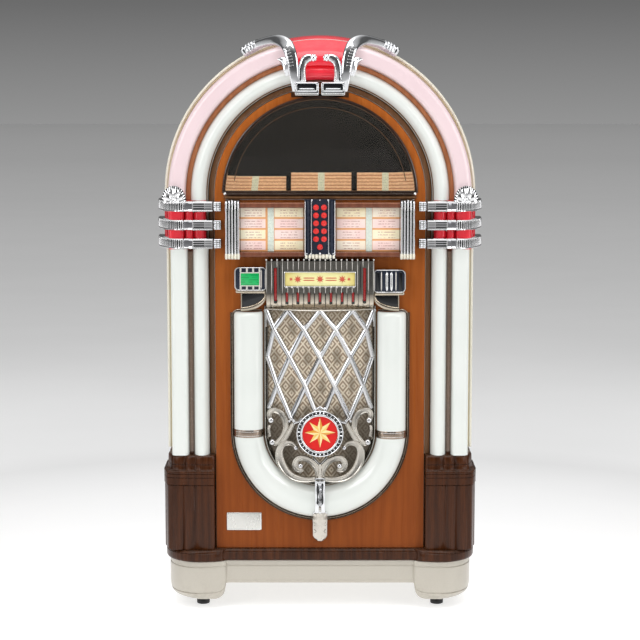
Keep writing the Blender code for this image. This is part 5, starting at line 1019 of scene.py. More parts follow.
def crown_strap(side):
    """The long strap, notched near its end, with ribs across it and lines along its flank."""
    line = crown_line(side, 150, (0.0612, 0.0636, 0.0668, 0.0695, 0.0735, 0.0792, 0.0868, 0.0985, 0.116,
                                  0.143, 0.169, 0.1905, 0.2028),
                      (-0.318, -0.3225, -0.3245, -0.3235, -0.321, -0.3165, -0.308, -0.293, -0.267, -0.236,
                       -0.214, -0.201, -0.195),
                      (1.376, 1.398, 1.42, 1.442, 1.465, 1.483, 1.4965, 1.505, 1.5090, 1.5050, 1.4962,
                       1.4855, 1.4775))
    at = steps(0, 1, 150)
    width = np.interp(at, [0, 0.12, 0.3, 0.42, 0.52, 0.62, 0.8, 0.9, 1],
                      [0.021, 0.025, 0.032, 0.0335, 0.0305, 0.026, 0.0245, 0.028, 0.026])
    depth = np.interp(at, [0, 0.12, 0.3, 0.42, 0.55, 0.75, 1],
                      [0.013, 0.0155, 0.0185, 0.02, 0.027, 0.031, 0.026])
    notch = 1 + (at > 0.83) * (at < 0.985) * np.clip(np.sin(at * 2 * PI * 29) * 3, -1, 1) * 0.09
    parts = [bar(line, width * notch, depth * notch, boxed(30, 0.62), 0.003)]

    forward = np.array([0.0, -1.0, 0.0])
    along = unit(np.gradient(line, axis=0))
    over = unit(np.cross(along, forward) * side)
    flank = np.cross(over, along) * -side * (depth * 0.46)[:, None]
    for start, stop, share, wide, deep, paint in ((14, 120, -0.3, 0.0034, 0.0034, 3),
                                                  (26, 120, -0.12, 0.0052, 0.0030, 1),
                                                  (78, 122, 0.12, 0.0052, 0.0030, 1)):
        lie = line + over * (width * share)[:, None] + flank
        parts.append(bar(lie[start:stop], wide, deep, 8, 0.004, paint))
    share = steps(-0.06, 0.4, 7)[:, None] * side
    bulge = (1 - (2 * np.abs(share)) ** 3.2) ** (1 / 3.2)
    for spot in range(32, 72, 2):
        across = np.cross(unit(line[spot + 1] - line[spot - 1]), forward)
        rib = line[spot] + share * width[spot] * across + bulge * depth[spot] / 2 * forward
        parts.append(bar(rib, 0.0026, 0.0034, 6, 0.001, 3 if spot % 4 else 1))
    return parts


def pilaster_line(inset, lobed):
    """Plan of a column base (u, y): three flat lobes across the front, two round the side."""
    inner, outer, front = 0.2790, 0.4168 - inset, -0.312 + inset
    dip = 0.0042 if lobed else 0.0004
    lines = [np.array([(inner, BEHIND_Y)])]
    t = steps(0.04, 0.96, 13)
    bulge = np.sin(PI * steps(0, 1, 13)) ** 0.35
    for low, high, fall in ((0.0, 0.375, 0.0), (0.375, 0.597, 0.1), (0.597, 0.93, 1.0)):
        u = inner + (low + (high - low) * t) * (outer - inner)
        lines.append(pairs(u, front + 0.012 * fall * (0.2 + 0.8 * t ** 3) + dip * (1 - bulge)))
    corner = -0.262
    depth = (-0.1486 - corner) / 2
    bulge = np.sin(PI * steps(0, 1, 11)) ** 0.4
    for at in range(2):
        lines.append(pairs(outer - dip * (1 - bulge), corner + (at + steps(0.05, 0.95, 11)) * depth))
    return joined(*lines, [(outer - dip, -0.1486), (STEP_U, -0.1486), (STEP_U, BEHIND_Y)])


def make_pilasters():
    """Each column base is its plan drawn in or out along a profile of height: lobes below, two
    plain tiers parted by grooves, a roll, and a stepped cap that falls back to the column."""
    rolls = [(0.1633, 0.001), (0.1643, 0.0), (0.3372, 0.0), (0.3378, 0.0018), (0.339, 0.0018),
             (0.3396, -0.0004), (0.3576, -0.0004), (0.3582, 0.0016), (0.3592, 0.0016), (0.3598, -0.0006),
             (0.3674, -0.0006), (0.3682, 0.0012)]
    rolls += [(0.3725 - 0.004 * math.cos(a), 0.0012 - 0.0022 * math.sin(a))
              for a in steps(0.05, PI - 0.05, 9)]
    rolls += [(0.3768, 0.004), (0.378, 0.0075), (0.38, 0.0088), (0.3912, 0.0092), (0.3918, 0.0112),
              (0.3928, 0.0112), (0.3936, 0.0096), (0.411, 0.0102), (0.415, 0.0122), (0.416, 0.0146)]
    lines = [(z, pilaster_line(inset, z < 0.3385 or z > 0.3766)) for z, inset in rolls]
    for label, side in SIDES.items():
        rows = [pairs(side * line[:, 0], line[:, 1], z) for z, line in lines]
        piece(f"pilaster_walnut_{label}", shell(np.stack(rows)), "dark walnut",
              stands_for=f"pilaster_base_{label}", crease=50)


def base_line(half, front_y, count=14):
    """Front of the plinth or skirt (x, y) from right to left: a bulge over each foot."""
    t = steps(0, PI / 2, count)
    outer = pairs(half - 0.085 * (1 - np.cos(t)), front_y + 0.1 * (1 - np.sin(t)))
    inner = pairs(half - 0.085 - 0.071 * np.sin(t), front_y + 0.022 * (1 - np.cos(t)))
    right = joined(outer, inner)
    return joined(right, right[::-1] * [-1, 1])


def make_plinth():
    rows = []
    for z, inset in ((0.1318, 0.0062), (0.133, 0.0022), (0.1355, 0.0008), (0.139, 0.0), (0.1535, 0.0),
                     (0.1545, 0.0012), (0.1553, 0.0012), (0.1562, 0.0004), (0.1595, 0.0018),
                     (0.1618, 0.0052), (0.1628, 0.0085)):
        half = 0.4145 - inset
        back = np.array([(half, STEP_Y), (STEP_U, STEP_Y), (STEP_U, BEHIND_Y)])
        line = np.concatenate([base_line(half, -0.3215 + inset), back * [-1, 1], back[::-1]])
        rows.append(pairs(line[:, 0], line[:, 1], z))
    piece("plinth_walnut", shell(np.stack(rows)), "dark walnut", stands_for="plinth_moulding")


def skirt_line(inset):
    """Plan of the skirt's wall (x, y): the base line, the two sides and the back."""
    half, front = 0.4055 - inset, -0.314 + inset
    side = pairs(-half, steps(front + 0.1, 0.331 - inset, 42)[1:])
    rear = pairs(steps(-half, half, 82)[1:-1], 0.331 - inset)
    return joined(spaced(base_line(half, front, 24), 261), side, rear, side[::-1] * [-1, 1])


def make_skirt():
    """Metal skirt: walls that follow the base line, higher at the middle of each side, with a
    groove near the top and a stepped foot under each corner, over tubes for the glides."""
    line = skirt_line(0.0)
    out = np.abs(line[:, 0])
    inside = 0.2535
    end = np.clip(1 - (out - inside) / 0.032, 0, 1)
    front_gap = np.where(out < inside, 1, 0.72 * (1 - np.sqrt(1 - end ** 2.4)))
    side_gap = np.clip(np.minimum(line[:, 1] + 0.158, 0.175 - line[:, 1]) / 0.0035, 0, 1)
    gap = np.maximum(front_gap, side_gap * (out > 0.38))
    low, waist, top = 0.0250 + 0.0440 * gap, 0.095, 0.1312
    foot = 1 - 0.86 * np.clip(gap, 0, 1)

    def drawn_in(inset):
        ring = skirt_line(inset)
        ring[:, 0] = np.where(out < 0.33, line[:, 0], ring[:, 0])
        return ring

    rows = []
    for share, inset in ((1.0, 0.0014), (0.985, 0.0002), (0.83, 0.0), (0.815, 0.0016), (0.785, 0.0016),
                         (0.77, 0.0), (0.30, 0.0), (0.22, 0.0006), (0.158, 0.0018), (0.148, 0.0042),
                         (0.138, 0.0042), (0.128, 0.0030), (0.09, 0.005), (0.05, 0.0088), (0.02, 0.0136),
                         (0.0, 0.0185)):
        ring = drawn_in(inset)
        if share < 0.5:
            ring = line + (ring - line) * foot[:, None]
            z = low + (waist - low) * share / 0.5
        else:
            z = waist + (top - waist) * (share - 0.5) / 0.5
        rows.append(pairs(ring[:, 0], ring[:, 1], z))
    inner = drawn_in(0.019)
    rows += [pairs(inner[:, 0], inner[:, 1], z) for z in (low + 0.0005, 0.1246)]
    tube = [(0.0064, 0.0308), (0.0205, 0.0308), (0.022, 0.0325), (0.022, 0.1256), (0.0064, 0.1256)]
    pad = [(0.0, 0.0002), (0.0145, 0.0002), (0.0168, 0.0012), (0.0175, 0.003), (0.0175, 0.0105),
           (0.016, 0.0135), (0.0105, 0.0142), (0.0102, 0.019), (0.006, 0.0195), (0.006, 0.074),
           (0.0, 0.0745)]
    glide_x, glide_y = 0.316, 0.24
    parts = [shell(np.stack(rows))]
    parts += [turned(tube, (x, y, 0), 24, "z") for x in (-glide_x, glide_x) for y in (-glide_y, glide_y)]
    parts += [bar(pairs(side * 0.2562, -0.2917, steps(0.0715, 0.1295, 8)), 0.0014, 0.0012, 6, paint=1)
              for side in (-1, 1)]
    piece("skirt_champagne", parts, ["champagne satin", "rubber black"], stands_for="base_skirt", crease=30)
    for row, y in (("front", -glide_y), ("rear", glide_y)):
        for label, side in SIDES.items():
            name = f"glide_{row}_{label}"
            piece(f"{name}_pad", turned(pad, (side * glide_x, y, 0), 36, "z"), "rubber black", name, name)


def half_disc(radius, sill_z):
    """Half disc about the arch's centre (x, z), anticlockwise, closed by its level sill."""
    start = math.asin((sill_z - ARCH_Z) / radius)
    curve = arc((0, ARCH_Z), radius, start, PI - start, 121)
    return np.concatenate([curve, pairs(steps(curve[-1, 0], curve[0, 0], 41)[1:-1], sill_z)])


def make_window():
    keep("door_panel", "door veneer")
    outer, inner = half_disc(0.2566, 1.1129), half_disc(0.2478, 1.1186)
    section = np.array([(0, -0.2652), (0, -0.2885), (0.1, -0.291), (0.3, -0.2928), (0.42, -0.2915),
                        (0.5, -0.2925), (0.62, -0.2938), (0.85, -0.2932), (1, -0.2905), (1, -0.2652)])
    flat = inner[:, None] * (1 - section[None, :, :1]) + outer[:, None] * section[None, :, :1]
    ring = shell(pairs(flat[..., 0], section[None, :, 1], flat[..., 1]), ring=True)
    thin = hoop(inner * [1.004, 1] - [0, 0.0002], -0.2893, 0.0012, 0.0012, 6, 1)
    piece("window_bezel_brown", [ring, thin], ["bezel brown", "strip brown"], DOOR, "window_bezel")
    pane = slab(half_disc(0.2476, 1.1188), -0.2752, -0.2788, 0.0004)
    piece("window_pane", pane, "smoked glass", DOOR, "window_glass")
    x = steps(-0.2535, 0.2535, 61)
    parts = [bar(pairs(x, -0.2856, 1.1012), 0.0108, 0.0108, half_round(14, -0.02), 0.006),
             bar(pairs(x * 0.985, -0.2862, 1.0957), 0.0024, 0.0055, half_round(8, -0.05), 0.003, 1),
             bar(pairs(x * 0.975, -0.2858, 1.1103), 0.0074, 0.0158, half_round(10, -0.02), 0.004, 2)]
    parts += [ball((side * 0.2482, -0.2935, 1.1108), 0.0046, 1) for side in (-1, 1)]
    piece("window_sill", parts, ["strip brown", "bright trim", "bezel brown"], DOOR)


def make_title_pages():
    """Three printed pages that lean back behind the glass, each with a number strip, on a dark
    shelf on the door's back; and the thin line of a hood above them."""
    foot_z = 1.109

    def leaning(x, y, top, thick, paint=0):
        front = pairs(x, y + 0.0145 * t, foot_z + (top - foot_z) * t)
        return shell(np.concatenate([front, (front + [0, thick, 0])[:, ::-1]], 1), paint=paint)

    parts, t = [], steps(0, 1, 9)[:, None]
    for low, high, top in ((-0.2475, -0.0895, 1.1548), (-0.0765, 0.0828, 1.1645), (0.0975, 0.2475, 1.1645)):
        x = steps(low, high, 21)
        curl = 0.0016 * np.sin(PI * (x - low) / (high - low)) ** 2
        parts.append(leaning(x, -0.2405 - curl, top, 0.0016))
        middle = (low + high) / 2 - (0.0054 if low < -0.1 else 0)
        x = steps(middle - 0.0088, middle + 0.0088, 5) + 0.0045 * t * (low < -0.1)
        parts.append(leaning(x, -0.2427, top, 0.0012, 1))
    turns = steps(0.16, PI - 0.16, 90)
    hood = pairs(0.2272 * np.cos(turns), -0.274, ARCH_Z + 0.2272 * np.sin(turns))
    parts += [block((-0.2475, -0.2648, 1.1035), (0.2475, -0.226, 1.1085), 0.0008, 2),
              bar(hood, 0.0022, 0.0026, 8, paint=3)]
    parts += [block((x - 0.0045, -0.2395, 1.1086), (x + 0.0045, -0.2275, 1.167), 0.001, 2)
              for x in (-0.083, 0.0902)]
    piece("title_pages", parts, ["title page", "page strip", "black paint", "strip brown"], DOOR)


def make_rack():
    """Rack for the cards: a plate, and a moulding with a thin rod above and below each half."""
    profile = joined([(-0.296, 0.0)], arc((-0.3125, 0.0045), (0.0095, 0.0045), 1.5 * PI, PI, 7),
                     [(-0.322, 0.0072)], arc((-0.3185, 0.0105), (0.0035, 0.0038), PI, 0.5 * PI, 6),
                     [(-0.296, 0.0145)])
    parts = [block((-0.2479, -0.3002, 0.9462), (0.2479, -0.2853, 1.0898), 0.001)]
    for low_z, turn, rod_z in ((0.9461, 1, 0.0134), (1.0899, -1, 0.0016)):
        for side in (-1, 1):
            low, high = sorted((side * 0.0409, side * 0.2081))
            rows = [pairs(x, profile[:, 0], low_z + turn * profile[:, 1])
                    for x in (low, low + 0.001, high - 0.001, high)]
            rod = pairs(steps(low, high, 4), -0.3192, low_z + turn * rod_z)
            parts += [shell(np.stack(rows)), bar(rod, 0.0016, 0.0016, 8, paint=1)]
    piece("title_rack_walnut", parts, ["rack brown", "copper brown"], DOOR, "title_rack")


def make_cards():
    """Four rows of cards in two columns on each side, with a number strip between them."""
    tints = {"c": 1, "p": 2, "y": 3}
    parts = []
    for side, layout, columns, strip in (
            (-1, ("cy", "pp", "yp", "py"), ((-0.2079, -0.1425), (-0.1188, -0.0438)), (-0.1368, -0.1202)),
            (1, ("yc", "pp", "py", "cp"), ((0.0438, 0.1188), (0.1372, 0.2079)), (0.1198, 0.1362))):
        low, high = sorted((side * 0.0428, side * 0.208))
        parts += [block((low, -0.3017, 0.961), (high, -0.3006, 1.0751), 0.0003),
                  block((strip[0], -0.3034, 0.9612), (strip[1], -0.3017, 1.0749), 0.0006, 4)]
        for row, kinds in enumerate(layout):
            foot_z = 1.0751 - 0.0286 * (row + 1) + 0.0042
            z = steps(max(foot_z, 0.9615), foot_z + 0.0238, 9)[:, None]
            up = (z - z[0]) / (z[-1] - z[0])
            for (low, high), kind in zip(columns, kinds):
                x = steps(low, high, 13)
                swell = 0.0009 * np.sin(PI * (x - low) / (high - low))[None] ** 0.5 * np.sin(PI * up) ** 0.5
                parts.append(relief(pairs(x, -0.3026 - swell, z), -0.3017, tints[kind]))
    piece("title_card_strips", parts,
          ["card orange", "card cream", "card pink", "card yellow", "card number"], DOOR, "title_cards")


def flute(x, width, low_z, high_z, front_y, back_y, paint=0, nose=0.006):
    """Upright half-round flute with a domed top and a bottom that rolls back."""
    t = steps(0, PI, 13)
    bend = steps(0, PI / 2, 7)
    z = joined(pairs(low_z + nose * (1 - np.cos(bend))),
               pairs(steps(low_z + nose, high_z - nose, 5)[1:-1]),
               pairs(high_z - nose + nose * np.sin(bend)))
    near_low, near_high = np.clip((z - low_z) / nose, 0, 1), np.clip((high_z - z) / nose, 0, 1)
    swell = np.sqrt(np.clip(1 - (1 - near_low) ** 2, 0.02, 1)) * np.sqrt(
        np.clip(1 - (1 - near_high) ** 2, 0.02, 1))
    rows = pairs(x - width / 2 * np.cos(t)[None] * (0.6 + 0.4 * swell),
                 back_y - 0.003 - (back_y - front_y - 0.003) * swell * np.sin(t)[None] ** 0.7, z)
    return relief(rows, back_y, paint)


def make_brackets():
    for label, side in SIDES.items():
        parts = [plate((*sorted((side * 0.2093, side * 0.2472)), 0.9455, 1.0955, 0.003), -0.3003, -0.3225,
                       0.002, 1)]
        for at in range(5):
            rise = 2 - abs(at - 2)
            x = side * (0.2085 + 0.0079 * (at + 0.5))
            parts += [flute(x, 0.0062, 0.9432 + 0.0006 * (2 - rise), 1.094 + 0.0022 * rise,
                            -0.3295 - 0.0018 * rise, -0.3205),
                      flute(x, 0.0078, 0.9415, 0.9585, -0.3318 - 0.0014 * rise, -0.3205, 2, 0.0065)]
        piece(f"bracket_flutes_{label}", parts, ["bright chrome", "black gloss", "cream"], DOOR,
              f"bracket_{label}")


def make_keypad():
    """Flutes and beads on the keypad's housing, and eleven round keys in two columns."""
    keep("keypad_housing", "navy face")
    back_y = -0.3215
    parts = []
    for side in (-1, 1):
        parts += [flute(side * 0.0385, 0.0046, 0.9475, 1.0975, -0.3362, back_y),
                  flute(side * 0.0315, 0.0094, 0.950, 1.0955, -0.3338, back_y, 1),
                  flute(side * 0.0224, 0.0026, 0.9485, 1.0985, -0.3322, -0.327)]
    parts += [flute((at - 4) * 0.0089, 0.0088, 0.9425, 0.9562, -0.3345 - 0.0006 * (at % 2), back_y, 2, 0.0055)
              for at in range(9)]
    parts += [ball((x, -0.3325, 0.9575), 0.0021 if x else 0.0034)
              for x in (-0.034, -0.024, 0.0, 0.024, 0.034)]
    parts += [ball((x, -0.3275, 1.0965), 0.0022) for x in (-0.0205, 0.0, 0.0205)]
    piece("keypad_trim", parts, ["chrome", "navy face", "cream"], DOOR)
    spots = [(side * 0.0103, 1.0775 - 0.0206 * row) for row in range(5) for side in (-1, 1)]
    t = steps(0, PI / 2, 8)
    profile = [(0.0, -0.0022), *pairs(0.0046 * np.sin(t), -0.0006 - 0.0016 * np.cos(t))[1:],
               (0.005, -0.0002), *arc((0.0059, 0.0012), (0.0015, 0.0014), -PI / 2, 0, 6),
               (0.0074, 0.0125), (0.0, 0.0125)]
    for at, (x, z) in enumerate(spots + [(0.0, 0.9745)], 1):
        name = f"button_{at:02d}"
        piece(f"key_cap_{at:02d}", turned(profile, (x, -0.3315, z), 32), "key red", name, name)


FACE_Z, ROLL = 0.8525, 0.04         # foot of the escutcheon's level face, height of its roll
RIB, FACE_X = 0.014, 0.14           # width of one rib, half the face's width
BACK_Y = -0.2856                    # backs of the castings on the door


def rolled_back(z):
    """How far the face lies back at a height: level above, a quarter ellipse at the bottom."""
    share = np.clip((FACE_Z - z) / ROLL, 0, 1)
    return 0.030 * (1 - np.sqrt(1 - share ** 2))


def make_escutcheon():
    """Ribbed face over a grid: level above, rolled back below, with the recesses of the name
    window and the slots pressed into it. A thin crest with a bead on top divides the flutes; crests and beads
    are pale as a painted highlight."""
    tall = 0.1165
    slots = [(-tall, 0.0042, 0.8265, 0.920), (tall, 0.0042, 0.8265, 0.920)]
    slots += [((at - 3) * 0.02882, 0.0038, 0.8245, 0.856) for at in range(7)]
    both_sides = (-0.0003, 0.0003)
    cuts_x = [value + step for value in (-0.091, 0.091) for step in both_sides]
    cuts_x += [middle + side * half + step for middle, half, _, _ in slots for side in (-1, 1)
               for step in both_sides]
    cuts_z = [value + step for value in (0.873, 0.908, 0.8245, 0.8265, 0.856, 0.92) for step in both_sides]
    x = np.unique(np.round(np.concatenate([steps(-FACE_X, FACE_X, 20 * 12 + 1), cuts_x]), 5))
    rolled = FACE_Z - ROLL * np.sin(steps(0, PI / 2, 16))
    z = np.unique(np.round(np.concatenate([rolled, steps(0.8535, 0.9375, 30), cuts_z]), 5))
    xx, zz = np.meshgrid(x, z)
    swell = 0.0016 * np.abs(np.sin(PI * (((xx + FACE_X) / RIB) % 1))) ** 0.6 - 0.0024
    y = -0.3318 + rolled_back(zz) - swell
    y = np.where((np.abs(xx) < 0.091) & (zz > 0.873) & (zz < 0.908), -0.3262, y)
    for middle, half, low, high in slots:
        y = np.where((np.abs(xx - middle) < half) & (zz > low) & (zz < high), y + 0.006, y)
    front = pairs(xx, y, zz)
    split = np.abs(z - FACE_Z).argmin()
    parts = [relief(np.concatenate([front[split:], pairs(x, -0.322, 0.94)[None]]), BACK_Y),
             relief(front[:split + 1], BACK_Y, 3)]
    for middle, half, low, high in slots:
        line = steps(low + 0.0004, high - 0.0004, 18)
        plug = pairs(middle, -0.3276 + rolled_back(line[:5]), steps(low + 0.0006, low + 0.0065, 5))
        parts += [bar(pairs(middle, -0.3272 + rolled_back(line), line), half * 2 - 0.0006, 0.0022,
                      half_round(8, -0.3), paint=1),
                  bar(plug, half * 2 - 0.0004, 0.0026, half_round(8, -0.3), paint=2)]
    # The crests and beads take the pale line: a painted highlight.
    for at in range(21):
        middle = -FACE_X + RIB * at
        spans = [(0.8535, 0.9405)] if abs(middle) > 0.094 else [(0.8535, 0.8695), (0.9125, 0.9405)]
        if abs(abs(middle) - tall) < 0.0052:
            spans = [(0.9215, 0.9405)]
        parts += [bar(pairs(middle, -0.3308, steps(low, high, 6)), 0.0017, 0.0026, 8, 0.001, 4)
                  for low, high in spans]
        parts.append(ball((middle, -0.3318, 0.9412), 0.0023, 4))
    for middle in -FACE_X + RIB * (np.arange(20) + 0.5):
        if abs(middle) > 0.094 and abs(abs(middle) - tall) > 0.006:
            parts.append(bar(pairs(middle, -0.3326, steps(0.857, 0.938, 5)), 0.0026, 0.0014, 8, 0.001, 2))
    line = FACE_Z - ROLL * np.sin(steps(0.0, PI / 2, 14))
    parts += [bar(pairs((at - 4.5) * 0.02882, -0.3304 + rolled_back(line), line), 0.0015, 0.0016, 6, paint=2)
              for at in range(10)]
    piece("escutcheon_ribs", parts, ["dark chrome", "slot red", "black gloss", "roll satin", "pale line"],
          DOOR, "escutcheon", 32)


def rosette(x, radius):
    """Small generic star of eight points, one flat plate."""
    t = PI / 2 + PI * steps(0, 2, 17)[:-1]
    reach = np.where(np.arange(16) % 2 == 0, radius, radius * 0.45)
    return slab(pairs(x + reach * np.cos(t), 0.8905 + reach * np.sin(t)), -0.3295, -0.3309, 0.0003, 2, 2)


def make_name_window():
    """Bare lit panel in a bright rim, with stars and level dashes in place of a name."""
    face_y = -0.3288 - 0.0012 * np.cos(steps(-1.4, 1.4, 9))
    panel = relief(pairs(steps(-0.0909, 0.0909, 30)[None], face_y[:, None],
                         steps(0.8731, 0.9079, 9)[:, None]), -0.3268, 1)
    parts = [hoop(rounded_box(-0.0925, 0.0925, 0.8715, 0.9095, 0.002), -0.3334, 0.0026, 0.0026), panel]
    # The beads below the rim are pale as a painted highlight.
    parts += [ball((x, -0.3338, 0.8702), 0.0031, 3) for x in steps(-0.0875, 0.0875, 13)]
    parts += [rosette(x, radius) for x, radius in ((-0.058, 0.0105), (0.0, 0.0105), (0.058, 0.0105),
                                                   (-0.0755, 0.0052), (0.0755, 0.0052))]
    parts += [bar(pairs(steps(x - 0.0155, x + 0.0155, 9), -0.3302, z), 0.0026, 0.0008, 8, 0.006, 2)
              for x in (-0.029, 0.029) for z in (0.8875, 0.8935)]
    piece("name_window", parts, ["bright trim", "name panel", "ornament red", "pale line"], DOOR)


def upright(x, low, high, width, depth, y=-0.3215, paint=2):
    return bar(pairs(x, y, steps(low, high, 10)), width, depth, 10, 0.002, paint)


def make_housings():
    """Display housing with its green window, and the coin housing with its upright bar: dark
    bodies inside a bright outline, with bright ribs across them, each over a pale lip. The navy bodies and
    pale ribs stand for chrome facets: painted dark reflection and painted highlights."""
    def outlined(low, high, low_z, high_z):
        outline = rounded_box(low, high, low_z, high_z, 0.0105, 7)
        return [slab(outline, -0.2858, -0.3205, 0.002, 1), hoop(outline, -0.3195, 0.0042, 0.005, 10)]

    low, high = 0.8605, 0.9195
    parts = outlined(-0.2218, -0.1405, low, high)
    # The pale uprights and lines are painted highlights in place of chrome.
    parts += [upright(x, *span, 0.0052, 0.006) for x in (-0.2075, -0.191, -0.1745, -0.158)
              for span in ((high - 0.0125, high), (low, low + 0.0125))]
    parts += [upright(x, low + 0.004, high - 0.004, width, 0.005) for x, width in
              ((-0.1535, 0.0034), (-0.1425, 0.003))]
    parts += [hoop(rounded_box(-0.2085, -0.1575, 0.872, 0.9065, 0.002), -0.3215, 0.0028, 0.0028, paint=2),
              plate((-0.2072, -0.1588, 0.8732, 0.9052, 0.001), -0.3195, -0.3216, 0.0004, 3)]
    piece("display_housing", parts, ["bright chrome", "navy face", "pale line", "green display"], DOOR)

    low, high = 0.855, 0.9128
    parts = outlined(0.1405, 0.2222, low, high)
    # On the coin housing the navy face and pale uprights paint the dark and bright reflections of chrome
    # facets.
    parts += [upright(x, low + 0.003, high - 0.003, width, width * 1.4, -0.3212)
              for x, width in ((0.1425, 0.003), (0.1605, 0.0034), (0.1985, 0.0036))]
    parts += [upright(x, low + 0.004, high - 0.004, 0.0082, 0.0082, paint=0) for x in (0.1748, 0.1866)]
    parts.append(block((0.1794, -0.3245, low + 0.008), (0.182, -0.318, high - 0.01), 0.0003, 1))
    parts += [plate((x - 0.0052, x + 0.0052, low + 0.005, high - 0.005, 0.002), -0.3195, -0.3222, 0.0012, 3)
              for x in (0.1515, 0.2105)]
    piece("coin_housing", parts, ["bright chrome", "navy face", "pale line", "black gloss"], DOOR)
    lips = [plate((*sorted((side * 0.1405, side * 0.2215)), base - 0.0085, base + 0.001, 0.0042), BACK_Y,
                  -0.3185, 0.004) for side, base in ((-1, 0.8605), (1, 0.855))]
    piece("housing_lips", lips, "warm trim", DOOR)


def make_corbels():
    """Under each housing: a dark hollow face, and a bright band that sweeps along its bottom
    from the outer foot up to the centre."""
    t = steps(0, PI / 2, 18)
    for label, side, top_z in (("left", -1, 0.852), ("right", 1, 0.8465)):
        curve = pairs(0.2075 - 0.0655 * np.sin(t), 0.8105 + (top_z - 0.8125) * (1 - np.cos(t)))
        outline = joined([(0.142, top_z), (0.2075, top_z)], curve)
        path = pairs(side * curve[:, 0], -0.3075, curve[:, 1] - 0.0012)
        under = pairs(side * curve[:, 0], -0.2965, curve[:, 1] - 0.0036)
        parts = [slab(outline * [side, 1], BACK_Y, -0.3065, 0.001),
                 bar(spaced(path, 40), varied(40, [0, 0.5, 1], [0.0105, 0.0118, 0.0078]), 0.0056, 12,
                     paint=1),
                 bar(spaced(under, 30), 0.0042, 0.0215, 12, paint=1),
                 bar(pairs(side * 0.2062, -0.3075, steps(0.8095, top_z, 10)), 0.0040, 0.0042, 8, paint=1),
                 bar(pairs(side * steps(0.1425, 0.2062, 10), -0.3075, top_z), 0.0032, 0.0036, 8, paint=1)]
        piece(f"corbel_{label}", parts, ["black gloss", "warm trim"], DOOR)


def dropped(points):
    """The U is a little longer than a half circle: its outer edge hangs lower at the foot."""
    points = points.copy()
    out = np.hypot(points[..., 0], points[..., 2] - U_Z)
    share = np.clip((out - 0.151) / 0.0826, 0, 1.1) * (points[..., 2] < U_Z)
    points[..., 2] = U_Z + (points[..., 2] - U_Z) * (1 + 0.028 * share)
    return points


def make_u_plastic():
    """Half-ellipse section round the U; at each top end it draws in to a rounded corner. Trim
    lines follow its edges, and a ribbed clip holds each side."""
    base = DOOR_Y - 0.0004
    t = steps(0, PI, 31)

    def section_of(front, behind, deep, shallow):
        return np.concatenate([pairs(0.189 - front * np.cos(t), base - deep * np.sin(t) ** 0.8),
                               pairs(0.189 + behind * np.cos(t), base - shallow * np.sin(t) ** 0.8)])

    section = section_of(0.038, 0.035, 0.0398, 0.0368)
    close = steps(0, 1, 10)
    heights = 0.801 - 0.012 * (1 - np.sin(close * PI / 2))
    caps = []
    for turn in (0, -PI):
        rows = []
        for share, height in zip(close[1:], heights[1:]):
            shrink = 1 - math.sqrt(max(0.0, 1 - share ** 2))
            ring = section.copy()
            u = ring[:, 0]
            ring[:, 0] = u - np.where(u > 0.17, 0.014 * shrink * np.clip((u - 0.17) / 0.05, 0, 1),
                                      -0.003 * shrink)
            ring[:, 1] = base + (ring[:, 1] - base) * (1 - 0.55 * shrink)
            rows.append(around(ring, [height], [turn])[0])
        caps.append(np.stack(rows))
    body = around(section, *hoop_turns(heights[0], 81, U_Z, -PI))
    parts = [shell(np.concatenate([caps[0][::-1], dropped(body), caps[1]]))]
    for low, high, rise, paint in ((0.2272, 0.2298, 0.0056, 1), (0.2299, 0.2338, 0.0082, 2),
                                   (0.2339, 0.2372, 0.0062, 1), (0.1488, 0.1502, 0.0036, 3)):
        line = arc(((low + high) / 2, base), ((high - low) / 2, rise), PI, 2 * PI, 9)
        parts.append(shell(dropped(around(line, *hoop_turns(0.7985, 81, U_Z, -PI))), paint=paint))
    for side in (-1, 1):
        for radius, width, paint in ((0.0, 0.0034, 1), (0.0035, 0.0028, 2)):
            line = joined([(side * (0.2285 + radius), 0.786)],
                          arc((side * 0.214, 0.789), (side * (0.0145 + radius), 0.0135 + radius), 0.2,
                              PI / 2, 10), [(side * 0.1535, 0.8028 + radius)])
            parts.append(bar(pairs(line[:, 0], -0.288, line[:, 1]), width, 0.0046, 8, paint=paint))
    piece("u_plastic_white", parts, ["white plastic", "trim brown", "trim silver", "olive line"], DOOR,
          "u_plastic")
    section = section_of(0.0392, 0.0378, 0.0412, 0.0396)
    for label, side, low_z in (("left", -1, 0.4693), ("right", 1, 0.4655)):
        rows = around(section, [low_z, low_z + 0.0015, low_z + 0.0185, low_z + 0.02], 0, side)
        rows[[0, -1], :, 1] += 0.0006
        lines = [bar(around(section[:31], [value], [0.0], side)[0], 0.0014, 0.0012, 6, paint=1)
                 for value in (low_z + 0.0045, low_z + 0.0155)]
        piece(f"u_clip_{label}", [shell(rows)] + lines, ["brushed clip", "bright trim"], DOOR)


def grille_y(x):
    """Front of the grille: a bulge that falls away towards its sides."""
    return -0.295 - 0.028 * (1 - np.minimum(np.abs(x) / CASTING_X, 1) ** 2)


def on_bulge(points, count, straight=False):
    line = spaced(points, count) if straight else flowing(points, count)
    return pairs(line[:, 0], grille_y(line[:, 0]), line[:, 1])


# Nodes of the lattice: the height of each row, and its nodes as shares of the half width.
LATTICE = ((0.8075, (-1.0, -0.57, 0.0, 0.57, 1.0)), (0.7559, (-0.82, -0.282, 0.282, 0.82)),
           (0.6828, (-0.935, -0.538, 0.0, 0.538, 0.935)), (0.6069, (-0.764, -0.26, 0.26, 0.764)),
           (0.5206, (-0.93, -0.52, -0.08, 0.08, 0.52, 0.93)))
# The bars that lean one way, as (row, node); the other way's are their mirror image.
DIAGONALS = (((0, 0), (1, 0), (2, 1), (3, 1), (4, 2)), ((0, 1), (1, 1), (2, 2), (3, 2), (4, 4)),
             ((0, 2), (1, 2), (2, 3), (3, 3), (4, 5)), ((0, 3), (1, 3), (2, 4)),
             ((2, 0), (3, 0), (4, 1)))
